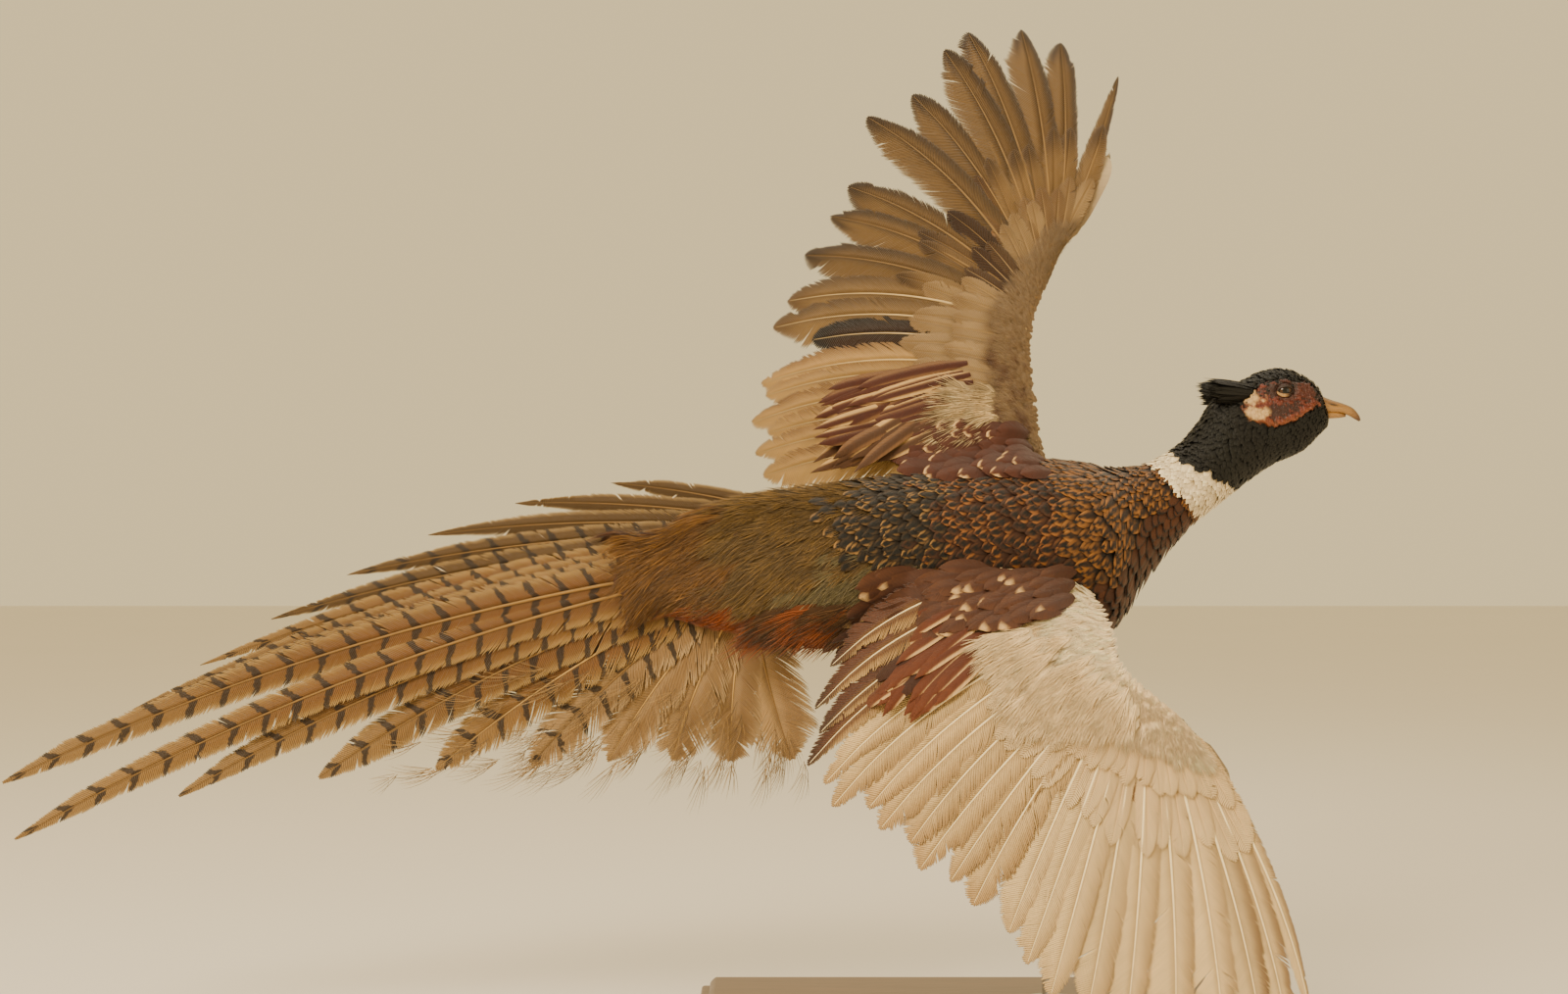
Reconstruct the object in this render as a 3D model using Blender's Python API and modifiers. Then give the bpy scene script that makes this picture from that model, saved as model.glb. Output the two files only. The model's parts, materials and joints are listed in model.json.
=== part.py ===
"""A ring-necked pheasant cock, mounted as in banking flight and held on a display stand.

Metres, +Z up, +X towards the bird's flight, -Y towards the viewer of its back.
The origin is the middle of the underside of the stand's base.
"""

import math

import bmesh
import bpy
from mathutils import Vector

# Driving dimensions, in metres
GAP = 0.0004            # the thin cut between neighbouring pieces
BODY_SIDES = 22         # points round each section of the trunk, neck and head
NECK_AT = 11.3          # station of BODY_LINE where the neck is cut from the trunk
HEAD_AT = 14.0          # station of BODY_LINE where the head is cut from the neck
EYE_RADIUS = 0.0055
EYE_AT = (0.1860, 0.0116, 0.4107)   # x, distance from the head's middle plane, z
HEAD_MIDDLE = -0.0198
PRIMARIES = 10
SECONDARIES = 12
TAIL_FEATHERS = 18

BASE_SIZE = (0.36, 0.23, 0.020)
ROD_AT = (0.045, 0.006)
ROD_RADIUS = 0.005
ROD_TOP = 0.292
FLANGE_RADIUS = 0.017
FLANGE_HEIGHT = 0.006

# The body line from tail root to face: x, y, z, pitch of the section's forward direction and roll of the back
# towards +Z in degrees, half width, half depth.
BODY_LINE = [
    (-0.234, 0.012, 0.289, 8, 16, 0.010, 0.008),
    (-0.205, 0.010, 0.296, 8, 17, 0.027, 0.020),
    (-0.175, 0.007, 0.300, 6, 18, 0.039, 0.031),
    (-0.140, 0.004, 0.303, 4, 20, 0.046, 0.040),
    (-0.099, 0.000, 0.306, 4, 22, 0.048, 0.046),
    (-0.043, 0.000, 0.311, 4, 24, 0.050, 0.051),
    (0.006, 0.000, 0.315, 2, 26, 0.053, 0.054),
    (0.045, 0.000, 0.314, 3, 28, 0.055, 0.056),
    (0.0740, -0.001, 0.3125, 7, 31, 0.054, 0.056),
    (0.0905, -0.003, 0.3260, 16, 37, 0.0400, 0.0395),
    (0.1034, -0.005, 0.3363, 26, 44, 0.0310, 0.0305),
    (0.1177, -0.008, 0.3462, 35, 52, 0.0248, 0.0250),
    (0.1320, -0.011, 0.3561, 44, 60, 0.0228, 0.0240),
    (0.1434, -0.013, 0.3653, 50, 67, 0.0217, 0.0246),
    (0.1534, -0.015, 0.3751, 49, 74, 0.0205, 0.0263),
    (0.1641, -0.017, 0.3861, 46, 81, 0.0190, 0.0291),
    (0.1796, -0.019, 0.3952, 44, 88, 0.0178, 0.0299),
    (0.1925, -0.0205, 0.4037, 39, 90, 0.0163, 0.0267),
    (0.2018, -0.0215, 0.4067, 34, 90, 0.0136, 0.0224),
    (0.2084, -0.022, 0.4064, 28, 90, 0.0100, 0.0159),
    (0.2114, -0.022, 0.4055, 20, 90, 0.0074, 0.0106),
    (0.2124, -0.022, 0.4044, 10, 90, 0.0045, 0.0053),
]

# Each wing: the leading edge from shoulder to the end of the hand, then the line of the feathers' tips.
WINGS = {
    "wing_left": {
        "lead": [
            (0.040, 0.000, 0.352),
            (0.034, 0.028, 0.413),
            (0.036, 0.055, 0.459),
            (0.058, 0.075, 0.508),
        ],
        "secondary_tips": [
            (-0.137, 0.028, 0.354),
            (-0.140, 0.047, 0.395),
            (-0.133, 0.062, 0.432),
            (-0.120, 0.078, 0.482),
        ],
        "primary_tips": [
            (-0.112, 0.083, 0.503),
            (-0.094, 0.091, 0.532),
            (-0.080, 0.097, 0.556),
            (-0.066, 0.103, 0.605),
            (-0.038, 0.108, 0.617),
            (-0.016, 0.113, 0.648),
            (0.001, 0.117, 0.662),
            (0.035, 0.120, 0.665),
            (0.064, 0.120, 0.656),
            (0.106, 0.115, 0.630),
        ],
        "bow": (0.09, 0.08, 0.02),     # of the innermost feather, at the wrist and of the outermost feather
    },
    "wing_right": {
        "lead": [
            (0.059, -0.038, 0.292),
            (0.066, -0.098, 0.268),
            (0.070, -0.150, 0.243),
            (0.100, -0.160, 0.218),
        ],
        "secondary_tips": [
            (-0.098, -0.062, 0.249),
            (-0.109, -0.085, 0.178),
            (-0.066, -0.104, 0.148),
            (-0.016, -0.122, 0.108),
        ],
        "primary_tips": [
            (0.006, -0.130, 0.093),
            (0.032, -0.142, 0.056),
            (0.084, -0.154, 0.039),
            (0.142, -0.155, 0.033),
            (0.178, -0.150, 0.048),
        ],
        "bow": (0.14, 0.02, -0.045),
    },
}
# Shares of a wing feather's length that have points.
WING_ROWS = (0.0, 0.09, 0.20, 0.34, 0.48, 0.62, 0.74, 0.85, 0.94, 1.0)
COVERT_ROW = 3          # the row of WING_ROWS where the coverts end and the bare flight feathers begin
WEBBED = 0.5            # share of a feather's length over which it always meets the next one in a fan
FEATHER_CAMBER = 0.05   # how far a wing feather arches towards the viewer, as a share of its length
SECONDARY_HALF_WIDTH = 0.0150
PRIMARY_HALF_WIDTH = (0.0135, 0.0070)   # innermost and outermost primary

# The tail fan: angles in the XZ plane from +X, towards +Z. Key -1 is the left side, 1 the right.
TAIL_AXIS = 199.0
TAIL_PARTING = 2.0       # degrees from the axis to the two middle feathers
TAIL_LONGEST = 0.466
TAIL_FANS = {
    -1: {"spread": 27.0, "gather": 1.9, "shortest": 0.120, "graduation": 0.95, "broader": -0.003,
         "blunt": 0.3, "root": (0.055, 0.036)},
    1: {"spread": 84.0, "gather": 2.0, "shortest": 0.092, "graduation": 2.5, "broader": 0.008,
        "blunt": 1.0, "root": (0.034, 0.028)},
}
TAIL_ROWS = (0.014, 0.04, 0.07, 0.105, 0.15, 0.20, 0.26, 0.32, 0.39)     # distances from the root
TAIL_TIP_ROWS = (0.022, 0.008, 0.0)                                    # distances back from the tip
TAIL_CENTRE = (-0.176, 0.012, 0.297)
TAIL_TILT = 0.22         # how far the fan leans back for each metre of height
TAIL_BEND = 9.0          # degrees by which a long feather droops along its length
TAIL_HALF_WIDTH = 0.0115

COLOURS = {
    "plumage_back": ((0.30, 0.14, 0.05), 0.75, 0.0),
    "plumage_neck": ((0.02, 0.03, 0.03), 0.45, 0.0),
    "plumage_wing": ((0.42, 0.30, 0.20), 0.75, 0.0),
    "plumage_tail": ((0.34, 0.22, 0.11), 0.70, 0.0),
    "bill_horn": ((0.55, 0.44, 0.24), 0.40, 0.0),
    "eye_glass": ((0.05, 0.03, 0.01), 0.05, 0.0),
    "leg_scale": ((0.35, 0.31, 0.26), 0.55, 0.0),
    "stand_wood": ((0.16, 0.08, 0.04), 0.35, 0.0),
    "stand_steel": ((0.30, 0.29, 0.28), 0.35, 1.0),
}


def clear_scene():
    for obj in list(bpy.data.objects):
        bpy.data.objects.remove(obj, do_unlink=True)


def new_collection(name):
    collection = bpy.data.collections.new(name)
    bpy.context.scene.collection.children.link(collection)
    return collection


def finish_of(name):
    """The named material, made the first time that it is asked for."""
    if name in bpy.data.materials:
        return bpy.data.materials[name]
    colour, roughness, metallic = COLOURS[name]
    material = bpy.data.materials.new(name)
    material.use_nodes = True
    shader = material.node_tree.nodes["Principled BSDF"]
    shader.inputs["Base Color"].default_value = (*colour, 1.0)
    shader.inputs["Roughness"].default_value = roughness
    shader.inputs["Metallic"].default_value = metallic
    return material


def add_mesh(name, bm, collection, material):
    """An object from a bmesh, its normals made to point out."""
    bmesh.ops.recalc_face_normals(bm, faces=bm.faces)
    mesh = bpy.data.meshes.new(name)
    bm.to_mesh(mesh)
    bm.free()
    obj = bpy.data.objects.new(name, mesh)
    mesh.materials.append(finish_of(material))
    collection.objects.link(obj)
    return obj


def smooth(obj):
    obj.data.shade_smooth()


def spline(points, share):
    """A point of the Catmull-Rom curve through these points, with share from 0 to 1."""
    spans = len(points) - 1
    at = min(max(share, 0.0), 1.0) * spans
    i = min(int(at), spans - 1)
    f = at - i
    p1, p2 = Vector(points[i]), Vector(points[i + 1])
    p0 = Vector(points[i - 1]) if i > 0 else 2 * p1 - p2
    p3 = Vector(points[i + 2]) if i + 2 <= spans else 2 * p2 - p1
    linear = p2 - p0
    square = 2 * p0 - 5 * p1 + 4 * p2 - p3
    cube = 3 * p1 - p0 - 3 * p2 + p3
    return 0.5 * (2 * p1 + linear * f + square * f**2 + cube * f**3)


def loft(name, rings, collection, material):
    """A closed body through rings of equally many points, its two ends capped."""
    bm = bmesh.new()
    rows = [[bm.verts.new(p) for p in ring] for ring in rings]
    count = len(rings[0])
    for lower, upper in zip(rows, rows[1:]):
        for i in range(count):
            j = (i + 1) % count
            bm.faces.new((lower[i], lower[j], upper[j], upper[i]))
    bm.faces.new(rows[0])
    bm.faces.new(rows[-1])
    obj = add_mesh(name, bm, collection, material)
    smooth(obj)
    return obj


def body_frame(station):
    """Centre, right and dorsal directions, half width and half depth at a station of the body line."""
    share = station / (len(BODY_LINE) - 1)
    places = [row[:3] for row in BODY_LINE]
    turns = [(*row[3:5], 0.0) for row in BODY_LINE]
    sizes = [(*row[5:], 0.0) for row in BODY_LINE]
    centre = spline(places, share)
    pitch, roll, _ = (math.radians(degrees) for degrees in spline(turns, share))
    half_width, half_depth, _ = spline(sizes, share)
    forward = Vector((math.cos(pitch), 0.0, math.sin(pitch)))
    dorsal = Vector((0.0, -math.cos(roll), math.sin(roll)))
    dorsal = (dorsal - dorsal.dot(forward) * forward).normalized()
    right = forward.cross(dorsal)
    return centre, right, dorsal, half_width, half_depth


def body_ring(station):
    centre, right, dorsal, half_width, half_depth = body_frame(station)
    ring = []
    for i in range(BODY_SIDES):
        angle = 2 * math.pi * i / BODY_SIDES
        ring.append(centre + right * half_width * math.cos(angle) + dorsal * half_depth * math.sin(angle))
    return ring


def body_piece(name, start, end, count, collection, material):
    """The stretch of the body between two stations of its line."""
    stations = [start + (end - start) * i / count for i in range(count + 1)]
    return loft(name, [body_ring(station) for station in stations], collection, material)


def inflated(obj, margin, cutters):
    """A cutter that stands margin outside the object."""
    cutter = obj.copy()
    cutter.data = obj.data.copy()
    cutter.name = obj.name + "_cutter"
    bm = bmesh.new()
    bm.from_mesh(cutter.data)
    bm.normal_update()
    moved = [(v, v.co + v.normal * margin) for v in bm.verts]
    for v, place in moved:
        v.co = place
    bm.to_mesh(cutter.data)
    bm.free()
    return as_cutter(cutter, cutters)


def as_cutter(obj, cutters):
    for owner in list(obj.users_collection):
        owner.objects.unlink(obj)
    cutters.objects.link(obj)
    obj.hide_render = True
    obj.display_type = "WIRE"
    return obj


def cut(obj, cutter):
    modifier = obj.modifiers.new("cut_by_" + cutter.name, "BOOLEAN")
    modifier.operation = "DIFFERENCE"
    modifier.object = cutter


def applied(obj):
    """The object with its modifiers made part of its mesh."""
    graph = bpy.context.evaluated_depsgraph_get()
    mesh = bpy.data.meshes.new_from_object(obj.evaluated_get(graph))
    obj.modifiers.clear()
    obj.data = mesh
    return obj


def bezier(start, middle, end, share):
    return start * (1 - share) ** 2 + middle * 2 * share * (1 - share) + end * share**2


def wing_shaft(wing, rank, place):
    """The shaft of one wing feather, as a function of the share of its length.

    rank is secondary or primary, and place runs from 0 at the innermost of them to 1 at the outermost.
    """
    lead = wing["lead"]
    if rank == "secondary":
        root = spline(lead, place * 2 / 3)
        tip = spline(wing["secondary_tips"], place)
        bow = wing["bow"][0] * (1 - place) + wing["bow"][1] * place
    else:
        root = spline(lead, (2 + place) / 3)
        tip = spline(wing["primary_tips"], place)
        bow = wing["bow"][1] * (1 - place) + wing["bow"][2] * place
    chord = tip - root
    sideways = Vector((chord.z, 0.0, -chord.x)) * bow
    arch = Vector((0.0, -FEATHER_CAMBER * chord.length, 0.0))
    middle = (root + tip) / 2 + (sideways + arch) * 2
    return lambda share: bezier(root, middle, tip, share)


def blade_width(share, blunt=0.80):
    """A flight feather's half width along it, as a share of the widest: full, then rounded to the tip."""
    if share <= blunt:
        return min(1.0, 0.45 + 2.2 * share)
    return math.sqrt(max(0.10, 1 - ((share - blunt) / (1 - blunt)) ** 2))


def taper_width(share, bluntness):
    """A tail feather's half width along it: the long ones are drawn out, the short outer ones blunt."""
    drawn_out = min(1.0 - 0.60 * share**1.5, 0.10 + 9.0 * (1.0 - share))
    return drawn_out + (min(1.0, math.sqrt(max(0.10, 8.0 * (1.0 - share)))) - drawn_out) * bluntness


def sheet(name, shafts, lengths, half_widths, rows, profile, thickness, material, inner=None, outer=None):
    """A fan of feathers as one thin body: neighbours share their edge while they overlap and then part.

    rows holds, for each feather, the distances along it that have points, in the unit of its length.
    Neighbours can only meet where both have a point at the same distance.
    Profile and thickness are functions of the share of the length.
    inner and outer are the shaft and length of the feather beyond each end, which the fan stops short of.
    """
    bm = bmesh.new()
    weight = bm.verts.layers.deform.verify()
    shares = [[distance / length for distance in row] for row, length in zip(rows, lengths)]
    thickest = max(thickness(share) for row in shares for share in row)

    def vertex(place, share):
        v = bm.verts.new(place)
        v[weight][0] = thickness(share) / thickest
        return v

    def half_width(i, share):
        return half_widths[i] * profile(i, share)

    def rows_shared(i):
        """How many rows from the root feather i and the next one share an edge, the same seen from either."""
        count = 0
        for k, (a, b) in enumerate(zip(rows[i], rows[i + 1])):
            here, there = shares[i][k], shares[i + 1][k]
            span = (shafts[i + 1](there) - shafts[i](here)).length
            overlaps = span <= half_width(i, here) + half_width(i + 1, there)
            if a != b or not (max(here, there) <= WEBBED or overlaps):
                break
            count += 1
        return count

    meeting = [rows_shared(i) for i in range(len(shafts) - 1)]

    def edge_point(i, side, k):
        """The place of feather i's edge at row k, and whether its neighbour shares it."""
        share = shares[i][k]
        here = shafts[i](share)
        along = (shafts[i](share + 0.02) - shafts[i](share - 0.02)).normalized()
        width = half_width(i, share)
        neighbour = i + side
        beyond = outer if side > 0 else inner
        inside = 0 <= neighbour < len(shafts)
        if inside and k < meeting[min(i, neighbour)]:
            there = shafts[neighbour](shares[neighbour][k])
            return here + (there - here) * (width / (width + half_width(neighbour, shares[neighbour][k]))), True
        if inside:
            nearest = min((s / 60 for s in range(61)), key=lambda s: (shafts[neighbour](s) - here).length)
            across = shafts[neighbour](nearest) - here
            width = min(width, across.length * width / (width + half_width(neighbour, nearest)) - GAP)
        elif beyond is not None:
            across = beyond[0](min(1.0, rows[i][k] / beyond[1])) - here
        else:
            last = shares[i - side]
            across = here - shafts[i - side](last[min(k, len(last) - 1)])
        across -= along * across.dot(along)
        if beyond is not None and not inside:
            width = min(width, across.length / 2 - GAP)
        return here + across.normalized() * width, False

    centre_lines = [[vertex(shaft(share), share) for share in row] for shaft, row in zip(shafts, shares)]
    shared = {}
    for i in range(len(shafts)):
        for side in (-1, 1):
            line = []
            for k, share in enumerate(shares[i]):
                place, joined = edge_point(i, side, k)
                key = (min(i, i + side), k)
                if joined and key not in shared:
                    shared[key] = vertex(place, share)
                line.append(shared[key] if joined else vertex(place, share))
            centre = centre_lines[i]
            for k in range(len(rows[i]) - 1):
                corners = (centre[k], centre[k + 1], line[k + 1], line[k])
                bm.faces.new(corners if side > 0 else corners[::-1])
    bmesh.ops.recalc_face_normals(bm, faces=bm.faces)
    mesh = bpy.data.meshes.new(name)
    bm.to_mesh(mesh)
    bm.free()
    obj = bpy.data.objects.new(name, mesh)
    obj.vertex_groups.new(name="thickness")
    mesh.materials.append(finish_of(material))
    bpy.data.collections["pheasant"].objects.link(obj)
    solidify = obj.modifiers.new("thickness", "SOLIDIFY")
    solidify.thickness = thickest
    solidify.offset = 0.0
    solidify.vertex_group = "thickness"
    solidify.use_rim = True
    return applied(obj)


def fade(share, stops):
    """Linear interpolation through (share, value) stops."""
    for (a, va), (b, vb) in zip(stops, stops[1:]):
        if share <= b:
            return va + (vb - va) * max(0.0, share - a) / (b - a)
    return stops[-1][1]


def arm_thickness(share):
    return fade(share, [(0.0, 0.0030), (0.09, 0.0120), (0.20, 0.0085), (0.34, 0.0030)])


def hand_thickness(share):
    return fade(share, [(0.0, 0.0025), (0.09, 0.0065), (0.20, 0.0050), (0.34, 0.0024)])


def feather_thickness(share):
    return fade(share, [(0.34, 0.0024), (0.60, 0.0014), (1.0, 0.0010)])


def primary_half_width(place):
    inner, outer = PRIMARY_HALF_WIDTH
    return inner + (outer - inner) * place**8


def make_wing(name):
    """The arm and hand under their coverts, and the secondaries and primaries behind them."""
    wing = WINGS[name]
    secondaries = [wing_shaft(wing, "secondary", (i + 0.5) / SECONDARIES) for i in range(SECONDARIES)]
    primary_places = [i / (PRIMARIES - 1) for i in range(PRIMARIES)]
    primaries = [wing_shaft(wing, "primary", place) for place in primary_places]
    secondary_widths = [SECONDARY_HALF_WIDTH] * SECONDARIES
    primary_widths = [primary_half_width(place) for place in primary_places]
    covert_rows = list(WING_ROWS[: COVERT_ROW + 1])
    blade_rows = [WING_ROWS[COVERT_ROW] + 0.004, *WING_ROWS[COVERT_ROW + 1 :]]
    profile = lambda i, share: blade_width(share)
    arm = {"outer": (primaries[0], 1.0)}
    hand = {"inner": (secondaries[-1], 1.0)}
    groups = (
        ("_arm", secondaries, secondary_widths, covert_rows, arm_thickness, arm),
        ("_hand", primaries, primary_widths, covert_rows, hand_thickness, hand),
        ("_secondaries", secondaries, secondary_widths, blade_rows, feather_thickness, arm),
        ("_primaries", primaries, primary_widths, blade_rows, feather_thickness, hand),
    )
    pieces = []
    for part, shafts, widths, rows, thickness, beside in groups:
        lengths = [1.0] * len(shafts)
        same_rows = [rows] * len(shafts)
        fan = (shafts, lengths, widths, same_rows, profile, thickness)
        pieces.append(sheet(name + part, *fan, "plumage_wing", **beside))
    return pieces


def tail_feather(side, rank):
    """Shaft, length and half width of a tail feather. side is -1 for the left, rank 0 next to the middle."""
    fan = TAIL_FANS[side]
    outward = rank / (TAIL_FEATHERS // 2 - 1)
    turn = side * (TAIL_PARTING + fan["spread"] * outward ** fan["gather"])
    length = fan["shortest"] + (TAIL_LONGEST - fan["shortest"]) * (1 - outward) ** fan["graduation"]
    angle = math.radians(TAIL_AXIS + turn)
    centre = Vector(TAIL_CENTRE)
    ahead, aside = fan["root"]
    root = centre + Vector((ahead * outward**2, 0.0, -side * (0.002 + aside * outward)))
    root.y += (root.z - centre.z) * TAIL_TILT
    tip = root + Vector((math.cos(angle), 0.0, math.sin(angle))) * length
    tip.y += (tip.z - centre.z) * TAIL_TILT + 0.02
    chord = tip - root
    bend = math.tan(math.radians(TAIL_BEND * (1 - 0.4 * outward)))
    middle = (root + tip) / 2 + Vector((chord.z, -0.06 * length, -chord.x)) * 0.5 * bend
    width = TAIL_HALF_WIDTH + fan["broader"] * outward
    return (lambda share: bezier(root, middle, tip, share)), length, width


def tail_thickness(share):
    return fade(share, [(0.0, 0.0040), (0.3, 0.0022), (1.0, 0.0012)])


def make_tail():
    """The graduated tail as three fans: the left feathers, the long middle ones and the right feathers."""
    half = TAIL_FEATHERS // 2
    order = [(-1, rank) for rank in reversed(range(half))] + [(1, rank) for rank in range(half)]
    feathers = [tail_feather(side, rank) for side, rank in order]
    shafts = [feather[0] for feather in feathers]
    blunt = [min(1.0, 1.5 * rank / (half - 1)) * TAIL_FANS[side]["blunt"] for side, rank in order]

    pieces = []
    third = TAIL_FEATHERS // 3
    for name, start in (("tail_left", 0), ("tail_middle", third), ("tail_right", 2 * third)):
        chosen = range(start, start + third)
        lengths = [feathers[i][1] for i in chosen]
        widths = [feathers[i][2] for i in chosen]
        rows = []
        for i, length in zip(chosen, lengths):
            beside = [feathers[j][1] for j in (i - 1, i + 1) if 0 <= j < TAIL_FEATHERS]
            tips = [other - back for other in beside for back in TAIL_TIP_ROWS]
            shared_rows = sorted({distance for distance in [*TAIL_ROWS, *tips] if distance < length - 0.034})
            rows.append(shared_rows + [length - back for back in TAIL_TIP_ROWS])
        profile = lambda i, share, start=start: taper_width(share, blunt[start + i])
        inner = feathers[start - 1][:2] if start else None
        outer = feathers[start + third][:2] if start + third < TAIL_FEATHERS else None
        own = shafts[start : start + third]
        pieces.append(
            sheet(name, own, lengths, widths, rows, profile, tail_thickness, "plumage_tail", inner, outer)
        )
    return pieces


def make_bill(collection):
    """The closed bill's two horns, in front of the face: x, z, half width and half depth along each."""
    sections = {
        "bill_upper": [
            (0.2085, 0.4034, 0.0056, 0.0053),
            (0.2157, 0.4016, 0.0047, 0.0041),
            (0.2236, 0.4003, 0.0036, 0.0030),
            (0.2291, 0.3983, 0.0026, 0.0026),
            (0.2330, 0.3951, 0.0016, 0.0018),
            (0.2352, 0.3926, 0.0006, 0.0007),
        ],
        "bill_lower": [
            (0.2085, 0.3956, 0.0048, 0.0019),
            (0.2157, 0.3955, 0.0040, 0.0014),
            (0.2225, 0.3955, 0.0027, 0.0010),
            (0.2262, 0.3955, 0.0010, 0.0005),
        ],
    }
    pieces = []
    for name, line in sections.items():
        places = [(x, z, 0.0) for x, z, _, _ in line]
        sizes = [(half_width, half_depth, 0.0) for _, _, half_width, half_depth in line]
        rings = []
        count = 2 * (len(line) - 1)
        for k in range(count + 1):
            share = k / count
            x, z, _ = spline(places, share)
            half_width, half_depth, _ = spline(sizes, share)
            ahead = (spline(places, share + 0.02) - spline(places, share - 0.02)).normalized()
            up = Vector((-ahead.y, 0.0, ahead.x)) * half_depth
            aside = Vector((0.0, half_width, 0.0))
            centre = Vector((x, HEAD_MIDDLE - 0.002, z))
            turns = [2 * math.pi * i / 12 for i in range(12)]
            rings.append([centre + aside * math.cos(turn) + up * math.sin(turn) for turn in turns])
        pieces.append(loft(name, rings, collection, "bill_horn"))
    return pieces


def make_eye(name, side, collection):
    """side is -1 for the right eye, which faces the viewer, and 1 for the left."""
    x, apart, z = EYE_AT
    bm = bmesh.new()
    bmesh.ops.create_uvsphere(bm, u_segments=14, v_segments=8, radius=EYE_RADIUS)
    bmesh.ops.translate(bm, verts=bm.verts, vec=(x, HEAD_MIDDLE + side * apart, z))
    obj = add_mesh(name, bm, collection, "eye_glass")
    smooth(obj)
    return obj


def make_ear_tuft(name, side, collection):
    """The short upright tuft behind the crown."""
    root = Vector((0.168, -0.018 + side * 0.010, 0.4095))
    tip = Vector((0.1365, -0.018 + side * 0.017, 0.4115))
    rings = []
    for share, radius in ((0.0, 0.0060), (0.35, 0.0070), (0.75, 0.0070), (0.93, 0.0052), (1.0, 0.0020)):
        centre = root.lerp(tip, share)
        ring = []
        for i in range(10):
            turn = 2 * math.pi * i / 10
            ring.append(centre + Vector((0.0, 0.62 * radius * math.cos(turn), radius * math.sin(turn))))
        rings.append(ring)
    return loft(name, rings, collection, "plumage_neck")


def tube(name, points, radii, collection, material):
    """A round tube through points, its radius changing along it."""
    curve = bpy.data.curves.new(name, "CURVE")
    curve.dimensions = "3D"
    curve.bevel_depth = 1.0
    curve.bevel_resolution = 1
    curve.use_fill_caps = True
    line = curve.splines.new("POLY")
    line.points.add(len(points) - 1)
    for point, place, radius in zip(line.points, points, radii):
        point.co = (*place, 1.0)
        point.radius = radius
    obj = bpy.data.objects.new(name, curve)
    collection.objects.link(obj)
    graph = bpy.context.evaluated_depsgraph_get()
    mesh = bpy.data.meshes.new_from_object(obj.evaluated_get(graph))
    bm = bmesh.new()
    bm.from_mesh(mesh)
    bmesh.ops.remove_doubles(bm, verts=bm.verts, dist=0.00001)
    bpy.data.objects.remove(obj)
    bpy.data.curves.remove(curve)
    bpy.data.meshes.remove(mesh)
    solid = add_mesh(name, bm, collection, material)
    smooth(solid)
    return solid


def make_leg(name, side, collection, cutters):
    """A bare shank trailed under the tail, with three front toes, a hind toe and a spur."""
    heel = Vector((-0.075, 0.034 + 0.012 * side, 0.284 + 0.016 * side))
    ankle = heel + Vector((-0.074, 0.010, -0.030))
    back = (ankle - heel).normalized()
    across = Vector((0.15, 0.55, 0.80)).normalized()
    shank_places = [heel.lerp(ankle, share) for share in (0.0, 0.12, 0.55, 0.95, 1.0)]
    shank = tube(name, shank_places, [0.0052, 0.0048, 0.0034, 0.0040, 0.0036], collection, "leg_scale")

    branches = []
    for number, (lean, length) in enumerate(((-0.46, 0.036), (0.0, 0.044), (0.46, 0.034))):
        way = (back + across * lean).normalized() * length
        start = ankle - back * (0.001 + 0.0012 * number)
        curled = ankle + way + Vector((0.0, 0.004, -0.002))
        places = [start, ankle + way * 0.5, ankle + way * 0.85, curled]
        branches.append((f"toe_{number}", places, [0.0030, 0.0024, 0.0020, 0.0007]))
    hind = heel.lerp(ankle, 0.90)
    hind_places = [hind, hind + Vector((-0.004, 0.010, -0.003)), hind + Vector((-0.010, 0.017, -0.004))]
    branches.append(("hind_toe", hind_places, [0.0024, 0.0018, 0.0006]))
    spur = heel.lerp(ankle, 0.68)
    spur_places = [spur, spur + Vector((0.0, 0.008, -0.001)), spur + Vector((-0.003, 0.013, -0.001))]
    branches.append(("spur", spur_places, [0.0024, 0.0015, 0.0005]))

    for part, places, radii in branches:
        branch = as_cutter(tube(f"{name}_{part}", places, radii, cutters, "leg_scale"), cutters)
        join = shank.modifiers.new("join_" + branch.name, "BOOLEAN")
        join.operation = "UNION"
        join.object = branch
    bpy.context.view_layer.update()
    return applied(shank)


def make_stand(collection):
    """A wooden base with a short steel rod that rises into the body."""
    bm = bmesh.new()
    bmesh.ops.create_cube(bm, size=1.0)
    bmesh.ops.scale(bm, verts=bm.verts, vec=BASE_SIZE)
    bmesh.ops.translate(bm, verts=bm.verts, vec=(0.0, 0.0, BASE_SIZE[2] / 2))
    base = add_mesh("stand_base", bm, collection, "stand_wood")
    corners = base.modifiers.new("rounded", "BEVEL")
    corners.width = 0.004
    corners.segments = 2
    corners.limit_method = "ANGLE"

    bottom = BASE_SIZE[2] + GAP
    for name, radius, low, high, material in (
        ("stand_flange", FLANGE_RADIUS, bottom, bottom + FLANGE_HEIGHT, "stand_steel"),
        ("stand_rod", ROD_RADIUS, bottom + FLANGE_HEIGHT + GAP, ROD_TOP, "stand_steel"),
    ):
        bm = bmesh.new()
        size = {"radius1": radius, "radius2": radius, "depth": high - low}
        bmesh.ops.create_cone(bm, cap_ends=True, segments=24, **size)
        bmesh.ops.translate(bm, verts=bm.verts, vec=(*ROD_AT, (low + high) / 2))
        obj = add_mesh(name, bm, collection, material)
        obj.data.shade_smooth()
        obj.data.set_sharp_from_angle(angle=math.radians(40))


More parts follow.
